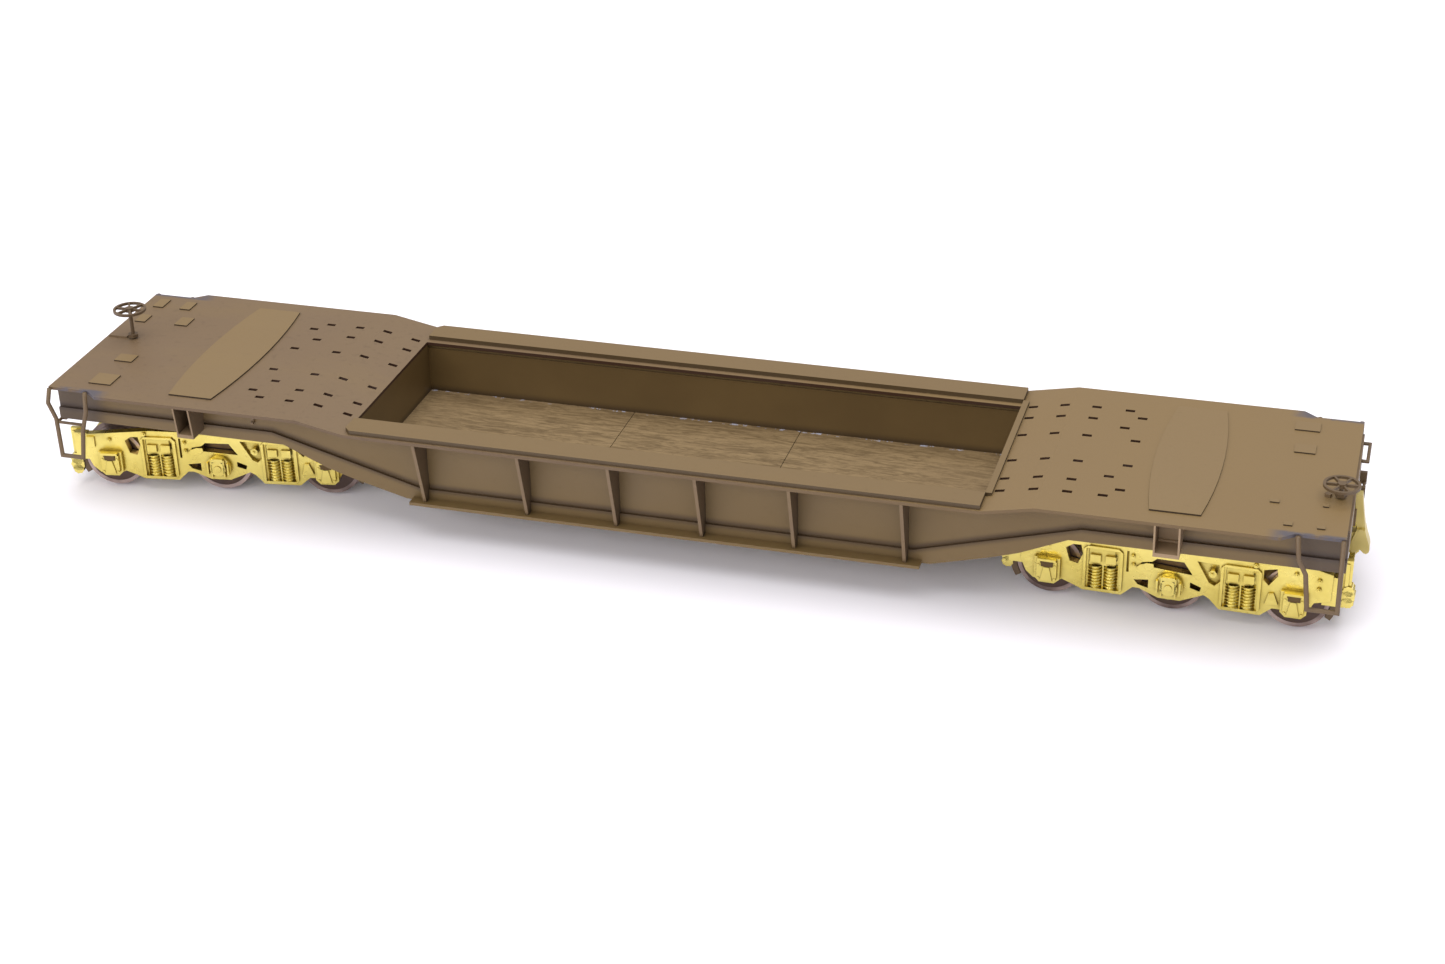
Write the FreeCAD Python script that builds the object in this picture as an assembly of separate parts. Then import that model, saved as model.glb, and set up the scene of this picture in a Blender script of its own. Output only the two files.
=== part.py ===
import FreeCAD, Part
import math
import os

# Model of a six-axle well flat car, in millimetres.
# +X runs along the car from end A (-X) to end B (+X), +Y points to the far side and +Z is up.
# The origin is on the car's centre line, midway along the deck, at the bottom of the wheel flanges.

V = FreeCAD.Vector

# The car's plan: the well, the room for a truck beyond each end of it, and the girders
well_half_length = 48.15
truck_room_a = 2.65
truck_room_b = 1.35
web_outer_y = 15.0
girder_overrun = 0.3

# Deck
deck_top = 19.78
deck_thickness = 0.5
deck_overhang = 4.46
end_narrowing = 1.59
end_narrow_length = 6.75
end_taper_length = 1.93
slope_length = 7.67
well_sheet_drop = 1.49
strip_lip = 0.6

# Plates along the strips beside the well
cover_width = 4.2
cover_edge = 0.36
cover_thickness = 0.7
cover_corner = 0.9

# Tie-down slots, in columns measured from the well's end
slot_length = 1.4
slot_width = 0.7
triple_slot_columns = (1.75, 6.51, 11.27)
triple_slot_rows = (4.08, 9.76, 13.49)
pair_slot_column = 16.25
pair_slot_rows = (7.7, 13.4)
last_slot_column = 18.35
last_slot_rows = (3.9, 11.3)

# Plates lying on the deck: a bowed one over each truck
overlay_offset = 26.6
overlay_edge = 3.26
overlay_side_half_length = 3.55
overlay_middle_half_length = 4.85
overlay_thickness = 0.25
patch_thickness = 0.2
# Each patch: distance from the deck's end, its -Y edge, its length along the car, its width
patches_a = (
    (5.6, -15.4, 3.7, 3.5),
    (5.6, -7.2, 3.0, 2.4),
    (1.7, 7.0, 1.8, 2.6),
    (1.9, 12.9, 1.8, 3.0),
    (6.7, 13.0, 1.8, 2.8),
    (8.7, 7.2, 2.2, 2.9),
)
patches_b = (
    (6.0, 12.9, 3.6, 2.7),
    (6.1, 5.8, 3.0, 2.6),
    (9.7, -9.9, 1.3, 0.9),
    (7.4, -16.0, 1.2, 1.0),
    (3.0, -16.0, 1.1, 0.8),
    (3.0, -9.6, 0.8, 0.8),
)

# Well
well_wall_thickness = 0.5
floor_top = 9.7
floor_thickness = 1.0
floor_seam_x = 13.6
floor_seam_gap = 0.12
lining_gap = 0.59
lining_thickness = 0.3
end_bar_length = 0.9
end_bar_height = 0.6

# Fish-belly girders: level below the well, then rising to the ends. Insets are measured back from
# the well's end and offsets beyond it.
web_thickness = 0.5
angle_thickness = 0.4
belly_bottom = 6.4
belly_inset = 7.65
belly_bends = ((0.95, 8.7), (5.05, 10.0))
girder_bottom = 13.1
girder_bottom_offset = 12.05
angle_low_top = 8.4
angle_low_inset = 10.15
angle_high_top = 15.0
angle_high_offset = 13.85
flange_inset = 8.85
flange_reach = 2.3
flange_thickness = 0.5
inner_rib_x = 6.6
middle_rib_x = 20.6
outer_rib_inset = 11.15
rib_thickness = 0.5
rib_foot_reach = 1.7

# Gussets in pairs at the body bolsters, measured outward from the kingpin
gusset_offsets_a = (0.2, -2.3)
gusset_offsets_b = (-2.1, 1.3)
gusset_thickness = 0.4
gusset_taper = 0.6
gusset_bottom = 14.7
jacking_plate_thickness = 0.6

# Underframe
bolster_half_length = 2.6
bolster_bottom = 13.2
sill_half_width = 3.2
sill_wall = 0.6
sill_bottom = 13.6
draft_sill_bottom = 13.3
bearer_width = 1.2
end_sill_thickness = 0.5
striker_half_width = 1.0
striker_depth = 0.3
striker_bottom = 12.7
striker_top = 15.4

# Couplers and their pockets, between the truck bolster and the girder's end
coupler_box_room = 1.5
coupler_box_inset = 0.8
coupler_box_length = 8.5
coupler_box_half_width = 3.0
coupler_box_wall = 0.5
coupler_eye_room = 0.3
coupler_pin_radius = 0.7
coupler_clearance = 0.05
coupler_eye_radius = 1.6
coupler_shank_half_width = 0.8
coupler_shank_bottom = 9.65
coupler_shank_height = 2.0
coupler_head_offset = 0.45
coupler_head_half_width = 1.15
coupler_head_bottom = 8.7
coupler_head_height = 3.7
coupler_neck_length = 1.4
coupler_lobe_length = 2.5
coupler_lobe_height = 1.5
coupler_notch_height = 0.3
coupler_stem_height = 4.8
coupler_stem_length = 0.65
coupler_stem_half_width = 0.6
knuckle_reach = 3.2
knuckle_outer_y = 1.6
knuckle_thickness = 0.9
knuckle_bottom = 9.4
knuckle_height = 1.8

# Wire parts, bent from fine rod. Each bend of a step iron: distance from the deck's end, drop below the deck
wire_sides = 8
step_wire_radius = 0.27
step_path_a = (
    (6.4, 0.2),
    (6.1, 3.5),
    (5.1, 6.9),
    (4.4, 11.7),
    (0.8, 11.7),
    (0.7, 5.3),
    (-0.3, 2.7),
    (0.3, 0.2),
)
step_path_b = (
    (6.4, 0.2),
    (6.0, 3.8),
    (4.9, 6.0),
    (4.3, 11.4),
    (0.2, 11.4),
    (0.3, 0.2),
)
lever_wire_radius = 0.22
lever_offset = 0.7
lever_z = 12.3
lever_inner_y = 3.3
lever_handle_length = 4.2
lever_hook_drop = 0.7
lever_bracket_inset = 1.8
lever_bracket_inner_inset = 0.9
lever_bracket_width = 0.6
lever_bracket_bottom = 12.0
lever_bracket_top = 13.9
grab_wire_radius = 0.25
grab_length = 5.6
grab_offset = 0.9
grab_drop = 1.9

# Hand brakes
staff_inset_a = 4.54
staff_y_a = 1.3
staff_inset_b = 1.65
staff_y_b = -6.18
brake_wheel_rise_a = 5.0
brake_wheel_rise_b = 2.0
staff_radius = 0.3
staff_clearance = 0.05
staff_drop = 3.4
staff_collar_radius = 0.75
staff_collar_height = 0.5
brake_wheel_radius = 2.6
brake_rim_width = 0.38
brake_rim_height = 0.4
brake_spoke_width = 0.3
brake_hub_radius = 0.6
brake_hub_height = 0.7
brake_spokes = 6
nut_sides = 6
ratchet_start = 1.0
ratchet_length = 3.2
ratchet_width = 0.9
ratchet_height = 0.3
pawl_offset = 1.7
pawl_radius = 0.45
pawl_height = 0.5

# Trucks
rest_swivel_a = 8.8
rest_swivel_b = -2.1
axle_spacing = 17.5
kingpin_radius = 0.9
kingpin_clearance = 0.05
kingpin_grip = 2.0
kingpin_head_radius = 1.5
kingpin_head_height = 0.7
kingpin_head_gap = 0.1
center_plate_radius = 2.5
truck_bolster_top = 11.2
truck_bolster_bottom = 8.2
truck_bolster_half_width = 2.5
cross_arm_gap = 0.6
cross_arm_inset = 0.15
cross_arm_half_length = 1.85
cross_arm_bottom = 6.7
cross_arm_top = 9.3
end_lug_half_width = 0.75
end_lug_offset = 1.1
end_lug_height = 1.2
end_lug_depth = 0.35
end_lug_z = 7.9

# Cast side frames. Each corner is a station, the distance along the truck from it, and the height.
# Stations -2 and 2 are the end axles, -1 and 1 the spring nests, and 0 is the truck's middle.
frame_inner_y = 9.65
frame_outer_y = 10.9
frame_outline = (
    (-2, -3.7, 9.9),
    (-2, -4.0, 6.2),
    (-2, -3.2, 4.3),
    (-2, -2.1, 3.3),
    (-2, 1.3, 3.3),
    (-2, 2.1, 3.7),
    (-1, -3.85, 3.0),
    (-1, -2.65, 2.45),
    (-1, 2.95, 2.45),
    (0, -5.2, 4.0),
    (0, -4.3, 4.0),
    (0, -1.5, 2.85),
    (0, 1.6, 2.85),
    (1, -4.85, 4.35),
    (1, -4.05, 3.9),
    (1, -2.65, 2.4),
    (1, 3.15, 2.4),
    (1, 4.75, 3.8),
    (2, -1.6, 3.8),
    (2, -0.9, 3.3),
    (2, 1.5, 3.3),
    (2, 2.7, 5.6),
    (2, 4.9, 6.2),
    (2, 5.0, 10.4),
    (2, 3.0, 10.9),
    (-1, -1.15, 10.9),
)
frame_windows = (
    ((-2, 2.5, 9.0), (-2, 3.5, 9.7), (-2, 4.7, 9.75), (-2, 5.0, 8.3), (-2, 4.3, 6.6), (-2, 3.1, 6.9)),
    ((2, -4.5, 9.8), (2, -2.7, 10.2), (2, -2.5, 9.1), (2, -3.7, 7.4), (2, -4.5, 8.2)),
    ((0, -4.7, 7.3), (0, -4.1, 8.3), (0, -2.6, 8.6), (0, -1.9, 9.2), (0, 1.9, 9.2), (0, 3.2, 7.3),
     (0, -2.4, 7.7)),
    ((0, -5.1, 5.3), (0, -3.0, 5.6), (0, -3.0, 4.2), (0, -4.5, 4.6)),
    ((0, 2.9, 6.1), (0, 4.5, 5.5), (0, 4.3, 4.8), (0, 2.9, 5.2)),
)
brake_arm_recess = ((1, -6.05, 9.7), (1, -2.95, 9.6), (1, -2.65, 6.9), (1, -3.45, 6.1), (1, -4.25, 6.5))
recess_depth = 0.6
frame_boss_offset = 3.75
frame_boss_z = 8.1
frame_boss_radius = 0.55
bracket_foot = ((2, -4.1, 4.4), (2, -3.6, 6.3), (2, -2.9, 6.4), (2, -2.2, 4.6))
end_tab_offset = 3.0
end_tab_half_width = 0.6
end_tab_bottom = 7.8
end_tab_top = 9.6
relief_height = 0.3
split_offset = 3.7
split_width = 0.35
split_bottom = 6.4
split_top = 9.8

# Spring nests
spring_window_shift = 0.2
spring_window_half_width = 2.45
spring_window_bottom = 3.1
spring_window_top = 9.55
nest_rim_width = 0.38
nest_rim_corner = 0.6
spring_radius = 1.0
spring_offset = 1.12
spring_axis_y = 10.25

# Journal boxes
journal_half_width = 1.85
journal_bottom = 3.1
journal_height = 4.1
journal_chamfer = 0.74
journal_lid_y = 11.95
journal_lid_inset = 0.4
journal_notch_half_width = 0.95
journal_notch_depth = 0.45
journal_notch_height = 0.75
barrel_radius = 2.0
barrel_cap_radius = 1.25
barrel_drop = 0.1

# Wheelsets
axle_radius = 0.75
axle_half_length = 11.05
axle_clearance = 0.05
wheel_tread_radius = 4.8
wheel_flange_depth = 0.5
wheel_flange_width = 0.65
wheel_back_y = 7.2
wheel_width = 2.2

# Brake gear hung at both ends of each truck
shoe_gap = 0.15
shoe_thickness = 0.9
shoe_seat = 0.15
shoe_width = 1.2
shoe_low_angle = -32.0
shoe_high_angle = 24.0
hanger_outer_y = 9.3
hanger_width = 0.7
hanger_length = 1.3
hanger_bottom = 3.6
hanger_top = 11.7
hanger_lug_length = 1.5
hanger_lug_height = 1.0
hanger_lug_top = 10.2
hanger_head_length = 1.9
hanger_head_bottom = 4.3
hanger_head_height = 2.6
hanger_head_width = 1.4
beam_width = 0.8
beam_height = 4.2

# How far a cutting shape reaches past what it cuts
past = 1.0

# Sizes that follow from the ones above
axle_height = wheel_tread_radius + wheel_flange_depth
wheel_face_y = wheel_back_y + wheel_width
hanger_x = axle_spacing + wheel_tread_radius + shoe_gap + shoe_thickness - shoe_seat
truck_half_length = hanger_x + hanger_head_length
cross_arm_x = axle_spacing - axle_height - cross_arm_gap - cross_arm_half_length
truck_bolster_half_length = cross_arm_x + cross_arm_half_length
spring_window_x = (-cross_arm_x + spring_window_shift, cross_arm_x + spring_window_shift)
kingpin_x_a = -well_half_length - truck_half_length - truck_room_a
kingpin_x_b = well_half_length + truck_half_length + truck_room_b
coupler_box_inner_x = -kingpin_x_a + truck_bolster_half_length + coupler_box_room
coupler_box_outer_x = coupler_box_inner_x + coupler_box_length
girder_half_length = coupler_box_outer_x + coupler_box_inset
deck_half_length = girder_half_length - girder_overrun
slope_end_x = well_half_length + slope_length
overlay_center_x = well_half_length + overlay_offset
outer_rib_x = well_half_length - outer_rib_inset
deck_half_width = web_outer_y + deck_overhang
end_half_width = deck_half_width - end_narrowing
overlay_half_width = deck_half_width - overlay_edge
cover_outer_y = deck_half_width - cover_edge
cover_inner_y = cover_outer_y - cover_width
web_inner_y = web_outer_y - web_thickness
angle_face_y = web_outer_y + angle_thickness
strip_inner_y = web_inner_y - strip_lip
floor_half_width = web_inner_y - lining_thickness
well_sheet_top = deck_top - well_sheet_drop
deck_underside = deck_top - deck_thickness
strip_underside = well_sheet_top - deck_thickness
floor_bottom = floor_top - floor_thickness
coupler_pivot_x = coupler_box_inner_x + coupler_box_wall + coupler_eye_radius + coupler_eye_room
coupler_head_start = girder_half_length + coupler_head_offset
coupler_shank_top = coupler_shank_bottom + coupler_shank_height
coupler_box_ceiling = coupler_shank_top + coupler_clearance
coupler_box_floor = coupler_shank_bottom - coupler_clearance
lever_x = girder_half_length + lever_offset
lever_outer_y = angle_face_y
step_y = end_half_width + step_wire_radius
staff_x_a = -deck_half_length + staff_inset_a
staff_x_b = deck_half_length - staff_inset_b


def box(x0, x1, y0, y1, z0, z1):
    corner = V(min(x0, x1), min(y0, y1), min(z0, z1))
    return Part.makeBox(abs(x1 - x0), abs(y1 - y0), abs(z1 - z0), corner)


def cylinder(radius, start, end):
    axis = end - start
    return Part.makeCylinder(radius, axis.Length, start, axis)


def prism(points, along):
    return Part.Face(Part.makePolygon(points + [points[0]])).extrude(along)


def prism_xz(points, y0, y1):
    return prism([V(x, y0, z) for x, z in points], V(0, y1 - y0, 0))


def prism_yz(points, x0, x1):
    return prism([V(x0, y, z) for y, z in points], V(x1 - x0, 0, 0))


def prism_xy(points, z0, z1):
    return prism([V(x, y, z0) for x, y in points], V(0, 0, z1 - z0))


def polygon_around(center, axis, radius, sides):
    # A regular polygon square to the axis, whose flats touch a circle of the given radius.
    across = V(0, 1, 0) if abs(axis.y) < 0.9 * axis.Length else V(1, 0, 0)
    second = axis.cross(across).normalize()
    first = second.cross(axis).normalize()
    corner = radius / math.cos(math.pi / sides)
    points = []
    for i in range(sides):
        turn = math.pi * (2 * i + 1) / sides
        points.append(center + first * (corner * math.cos(turn)) + second * (corner * math.sin(turn)))
    return points


def polygon_rod(radius, sides, start, end):
    return prism(polygon_around(start, end - start, radius, sides), end - start)


def fuse_all(shapes):
    whole = shapes[0]
    for shape in shapes[1:]:
        whole = whole.fuse(shape)
    return whole.removeSplitter()


def cut_all(shape, tools):
    for tool in tools:
        shape = shape.cut(tool)
    return shape


def mirror_x(shape):
    return shape.mirror(V(0, 0, 0), V(1, 0, 0))


def mirror_y(shape):
    return shape.mirror(V(0, 0, 0), V(0, 1, 0))


def turn_about(shape):
    turned = shape.copy()
    turned.rotate(V(0, 0, 0), V(0, 0, 1), 180)
    return turned


def group(shapes):
    return Part.makeCompound(shapes)


def save(name, shape):
    shape.exportStep("parts/" + name + ".step")


def wire_rod(points, radius):
    # A bent wire: one section swept along straight lengths, with a mitre at each bend.
    path = Part.Wire([Part.makeLine(start, end) for start, end in zip(points[:-1], points[1:])])
    corners = polygon_around(points[0], points[1] - points[0], radius, wire_sides)
    section = Part.makePolygon(corners + [corners[0]])
    return path.makePipeShell([section], True, False, 1)


# ---------------------------------------------------------------- deck


def deck_outline():
    narrow_x = deck_half_length - end_narrow_length
    taper_x = narrow_x - end_taper_length
    near = [
        (well_half_length, -deck_half_width),
        (taper_x, -deck_half_width),
        (narrow_x, -end_half_width),
        (deck_half_length, -end_half_width),
    ]
    far = [(x, -y) for x, y in reversed(near)]
    return near + far


def slot_positions():
    places = []
    for column in triple_slot_columns:
        for row in triple_slot_rows:
            places.append((well_half_length + column, row))
    for row in pair_slot_rows:
        places.append((well_half_length + pair_slot_column, row))
    for row in last_slot_rows:
        places.append((well_half_length + last_slot_column, row))
    return places


def slot_cutters():
    half_length = slot_length / 2
    half_width = slot_width / 2
    tools = []
    for x, row in slot_positions():
        for y in (-row, row):
            tools.append(box(x - half_length, x + half_length, y - half_width, y + half_width,
                             strip_underside - past, deck_top + past))
    return tools


def deck_sheet():
    profile = [
        (well_half_length, strip_underside),
        (well_half_length, well_sheet_top),
        (slope_end_x, deck_top),
        (deck_half_length, deck_top),
        (deck_half_length, deck_underside),
        (slope_end_x, deck_underside),
    ]
    sheet = prism_xz(profile, -deck_half_width, deck_half_width)
    return sheet.common(prism_xy(deck_outline(), strip_underside - past, deck_top + past))


def deck_end(staff_x, staff_y):
    staff_hole = cylinder(staff_radius + staff_clearance, V(abs(staff_x), staff_y, deck_underside - past),
                          V(abs(staff_x), staff_y, deck_top + past))
    return cut_all(deck_sheet(), slot_cutters() + [staff_hole])


def deck_strip():
    return box(-well_half_length, well_half_length, -deck_half_width, -strip_inner_y,
               strip_underside, well_sheet_top)


def cover_plate():
    end = well_half_length
    outer = cover_outer_y
    points = [
        (-end, -cover_inner_y),
        (-end, -outer + cover_corner),
        (-end + cover_corner, -outer),
        (end, -outer),
        (end, -cover_inner_y),
    ]
    return prism_xy(points, well_sheet_top, well_sheet_top + cover_thickness)


def overlay_plate():
    a = overlay_side_half_length
    b = overlay_middle_half_length
    w = overlay_half_width
    x = overlay_center_x
    z = deck_top
    edges = [
        Part.makeLine(V(x - a, -w, z), V(x + a, -w, z)),
        Part.Arc(V(x + a, -w, z), V(x + b, 0, z), V(x + a, w, z)).toShape(),
        Part.makeLine(V(x + a, w, z), V(x - a, w, z)),
        Part.Arc(V(x - a, w, z), V(x - b, 0, z), V(x - a, -w, z)).toShape(),
    ]
    return Part.Face(Part.Wire(edges)).extrude(V(0, 0, overlay_thickness))


def deck_patch(end, inset, y, length, width):
    outer = deck_half_length - inset
    return box(end * outer, end * (outer - length), y, y + width, deck_top, deck_top + patch_thickness)


def deck_patches():
    plates = [deck_patch(-1, *patch) for patch in patches_a]
    plates.extend(deck_patch(1, *patch) for patch in patches_b)
    return group(plates)


# ---------------------------------------------------------------- girders


def belly_edge():
    # The girder's bottom edge, from below the well out to the end.
    edge = [(well_half_length - belly_inset, belly_bottom)]
    for offset, z in belly_bends:
        edge.append((well_half_length + offset, z))
    edge.append((well_half_length + girder_bottom_offset, girder_bottom))
    edge.append((girder_half_length, girder_bottom))
    return edge


def both_ways(right):
    return right + [(-x, z) for x, z in reversed(right)]


def girder_web():
    upper = [(girder_half_length, deck_underside), (slope_end_x, deck_underside),
             (well_half_length, strip_underside)]
    return prism_xz(both_ways(belly_edge() + upper), -web_outer_y, -web_inner_y)


def girder_angle():
    upper = [(girder_half_length, angle_high_top), (well_half_length + angle_high_offset, angle_high_top),
             (well_half_length - angle_low_inset, angle_low_top)]
    upright = prism_xz(both_ways(belly_edge() + upper), -angle_face_y, -web_outer_y)
    reach = well_half_length - flange_inset
    foot = box(-reach, reach, -web_outer_y - flange_reach, -web_outer_y,
               belly_bottom, belly_bottom + flange_thickness)
    return fuse_all([upright, foot])


def rib(x):
    foot_z = belly_bottom + flange_thickness
    points = [
        (-web_outer_y, strip_underside),
        (-deck_half_width, strip_underside),
        (-web_outer_y - rib_foot_reach, foot_z),
        (-angle_face_y, foot_z),
        (-angle_face_y, angle_low_top),
        (-web_outer_y, angle_low_top),
    ]
    return prism_yz(points, x - rib_thickness / 2, x + rib_thickness / 2)


def ribs():
    shapes = []
    for x in (inner_rib_x, middle_rib_x, outer_rib_x):
        shapes.append(rib(x))
        shapes.append(rib(-x))
    return group(shapes)


def gusset(x):
    points = [
        (-web_outer_y, deck_underside),
        (-deck_half_width, deck_underside),
        (-deck_half_width + gusset_taper, gusset_bottom),
        (-angle_face_y, gusset_bottom),
        (-angle_face_y, angle_high_top),
        (-web_outer_y, angle_high_top),
    ]
    return prism_yz(points, x - gusset_thickness / 2, x + gusset_thickness / 2)


def gusset_pair(pin_x, offsets):
    places = [pin_x + offset for offset in sorted(offsets)]
    jacking_plate = box(places[0] - gusset_thickness / 2, places[1] + gusset_thickness / 2,
                        -deck_half_width + gusset_taper, -angle_face_y,
                        gusset_bottom - jacking_plate_thickness, gusset_bottom)
    return fuse_all([gusset(x) for x in places] + [jacking_plate])


def bolster_gussets():
    near = [mirror_x(gusset_pair(-kingpin_x_a, gusset_offsets_a)), gusset_pair(kingpin_x_b, gusset_offsets_b)]
    return group(near + [mirror_y(pair) for pair in near])


# ---------------------------------------------------------------- well


def well_end_walls():
    wall = box(well_half_length, well_half_length + well_wall_thickness, -web_inner_y, web_inner_y,
               floor_bottom, strip_underside)
    return group([wall, mirror_x(wall)])


def well_end_bar():
    # A bar across the foot of the slope at end B, level on top.
    rise = well_sheet_drop * end_bar_length / slope_length
    profile = [
        (well_half_length, well_sheet_top),
        (well_half_length, well_sheet_top + end_bar_height),
        (well_half_length + end_bar_length, well_sheet_top + end_bar_height),
        (well_half_length + end_bar_length, well_sheet_top + rise),
    ]
    return prism_xz(profile, -cover_inner_y, cover_inner_y)


def well_floor():
    seam = floor_seam_gap / 2
    spans = [
        (-well_half_length, -floor_seam_x - seam),
        (-floor_seam_x + seam, floor_seam_x - seam),
        (floor_seam_x + seam, well_half_length),
    ]
    boards = [box(x0, x1, -floor_half_width, floor_half_width, floor_bottom, floor_top) for x0, x1 in spans]
    return group(boards)


def well_linings():
    lining = box(-well_half_length, well_half_length, -web_inner_y, -floor_half_width,
                 floor_bottom, strip_underside - lining_gap)
    return group([lining, mirror_y(lining)])


def cross_bearers():
    bearers = []
    for place in (inner_rib_x, middle_rib_x, outer_rib_x):
        for x in (-place, place):
            bearers.append(box(x - bearer_width / 2, x + bearer_width / 2, -web_inner_y, web_inner_y,
                               belly_bottom, floor_bottom))
    return group(bearers)


# ---------------------------------------------------------------- underframe


def channel(x0, x1, bottom, top):
    outer = box(x0, x1, -sill_half_width, sill_half_width, bottom, top)
    inner = box(x0, x1, -sill_half_width + sill_wall, sill_half_width - sill_wall, bottom + sill_wall, top)
    return outer.cut(inner)


def at_both_ends(make):
    # The end A piece is made for its own kingpin and then mirrored into place.
    return group([mirror_x(make(-kingpin_x_a)), make(kingpin_x_b)])


def center_sill(pin_x):
    return channel(well_half_length + well_wall_thickness, pin_x - bolster_half_length,
                   sill_bottom, strip_underside)


def draft_sill(pin_x):
    return channel(pin_x + bolster_half_length, girder_half_length - end_sill_thickness,
                   draft_sill_bottom, deck_underside)


def body_bolster(pin_x):
    beam = box(pin_x - bolster_half_length, pin_x + bolster_half_length,
               -web_inner_y, web_inner_y, bolster_bottom, deck_underside)
    plate = cylinder(center_plate_radius, V(pin_x, 0, truck_bolster_top), V(pin_x, 0, bolster_bottom))
    hole = cylinder(kingpin_radius, V(pin_x, 0, truck_bolster_top - past),
                    V(pin_x, 0, bolster_bottom + kingpin_grip))
    return fuse_all([beam, plate]).cut(hole)


def kingpin(pin_x):
    head_top = truck_bolster_bottom - kingpin_head_gap
    pin = cylinder(kingpin_radius, V(pin_x, 0, head_top), V(pin_x, 0, bolster_bottom + kingpin_grip))
    head = polygon_rod(kingpin_head_radius, nut_sides, V(pin_x, 0, head_top - kingpin_head_height),
                       V(pin_x, 0, head_top))
    return fuse_all([pin, head])


def end_sill():
    sill = box(girder_half_length - end_sill_thickness, girder_half_length, -web_inner_y, web_inner_y,
               girder_bottom, deck_underside)
    striker = box(girder_half_length, girder_half_length + striker_depth,
                  -striker_half_width, striker_half_width, striker_bottom, striker_top)
    return fuse_all([sill, striker])


# ---------------------------------------------------------------- couplers


def coupler_box():
    # A pocket open at the car's end, with the pin that the coupler swings on.
    wall = coupler_box_wall
    w = coupler_box_half_width
    low = coupler_box_floor
    high = coupler_box_ceiling
    outer = box(coupler_box_inner_x, coupler_box_outer_x, -w, w, low - wall, draft_sill_bottom)
    pocket = box(coupler_box_inner_x + wall, coupler_box_outer_x + past, -w + wall, w - wall, low, high)
    pin = cylinder(coupler_pin_radius, V(coupler_pivot_x, 0, low), V(coupler_pivot_x, 0, high))
    return fuse_all([outer.cut(pocket), pin])


def coupler_head():
    # A head with two lobes below, and a narrow stem standing on it.
    x0 = coupler_head_start
    x1 = x0 + coupler_neck_length
    spread = (coupler_lobe_length - coupler_neck_length) / 2
    low = coupler_head_bottom
    high = low + coupler_head_height
    profile = [
        (x0, high),
        (x0 - spread / 2, low + coupler_lobe_height),
        (x0 - spread, low + coupler_notch_height),
        (x0 - spread / 2, low),
        ((x0 + x1) / 2, low + coupler_notch_height),
        (x1 + spread / 2, low),
        (x1 + spread, low + coupler_notch_height),
        (x1 + spread / 2, low + coupler_lobe_height),
        (x1, high),
    ]
    head = prism_xz(profile, -coupler_head_half_width, coupler_head_half_width)
    stem_profile = [
        (x0 + coupler_clearance, high),
        (x1, high),
        (x0 + coupler_stem_length, high + coupler_stem_height),
        (x0 + coupler_clearance, high + coupler_stem_height),
    ]
    stem = prism_xz(stem_profile, -coupler_stem_half_width, coupler_stem_half_width)
    return fuse_all([head, stem])


def coupler():
    low = coupler_shank_bottom
    high = coupler_shank_top
    x1 = coupler_head_start + coupler_neck_length
    eye = polygon_rod(coupler_eye_radius, wire_sides, V(coupler_pivot_x, 0, low), V(coupler_pivot_x, 0, high))
    shank = box(coupler_pivot_x, x1, -coupler_shank_half_width, coupler_shank_half_width, low, high)
    knuckle = box(x1 - knuckle_thickness, coupler_head_start + knuckle_reach,
                  -knuckle_outer_y, -knuckle_outer_y + knuckle_thickness,
                  knuckle_bottom, knuckle_bottom + knuckle_height)
    hole = cylinder(coupler_pin_radius + coupler_clearance, V(coupler_pivot_x, 0, low - past),
                    V(coupler_pivot_x, 0, high + past))
    return fuse_all([eye, shank, coupler_head(), knuckle]).cut(hole)


# ---------------------------------------------------------------- wire parts


def step_iron(path):
    points = [V(deck_half_length - inset, -step_y, deck_top - drop) for inset, drop in path]
    return wire_rod(points, step_wire_radius)


def step_irons():
    near = [mirror_x(step_iron(step_path_a)), step_iron(step_path_b)]
    return group(near + [mirror_y(iron) for iron in near])


def uncoupling_lever():
    # A rod across the car's end, with a handle turned back below the girder and a hook at the coupler.
    x = lever_x
    path = [
        V(x, -lever_inner_y, lever_z - lever_hook_drop),
        V(x, -lever_inner_y, lever_z),
        V(x, -lever_outer_y, lever_z),
        V(x - lever_handle_length, -lever_outer_y, lever_z),
    ]
    pieces = [wire_rod(path, lever_wire_radius)]
    half = lever_bracket_width / 2
    first = -lever_outer_y + lever_bracket_inset
    last = -lever_inner_y - lever_bracket_inner_inset
    for y in (first, (first + last) / 2, last):
        pieces.append(box(girder_half_length, x + half, y - half, y + half,
                          lever_bracket_bottom, lever_bracket_top))
    return fuse_all(pieces)


def end_grab_iron():
    inside = girder_half_length
    outside = girder_half_length + grab_offset
    outer_y = web_outer_y - grab_wire_radius
    inner_y = outer_y - grab_length
    z = deck_top - grab_drop
    path = [V(inside, inner_y, z), V(outside, inner_y, z), V(outside, outer_y, z), V(inside, outer_y, z)]
    return wire_rod(path, grab_wire_radius)


# ---------------------------------------------------------------- hand brakes


def brake_rim(center):
    down = V(0, 0, brake_rim_height / 2)
    ring = cylinder(brake_wheel_radius, center - down, center + down)
    return ring.cut(cylinder(brake_wheel_radius - brake_rim_width, center - down * 2, center + down * 2))


def brake_spoke(center, number):
    half_width = brake_spoke_width / 2
    half_height = brake_rim_height / 2
    length = brake_wheel_radius - brake_rim_width / 2
    spoke = box(0, length, -half_width, half_width, -half_height, half_height)
    spoke.rotate(V(0, 0, 0), V(0, 0, 1), 360.0 * number / brake_spokes)
    spoke.translate(center)
    return spoke


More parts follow.
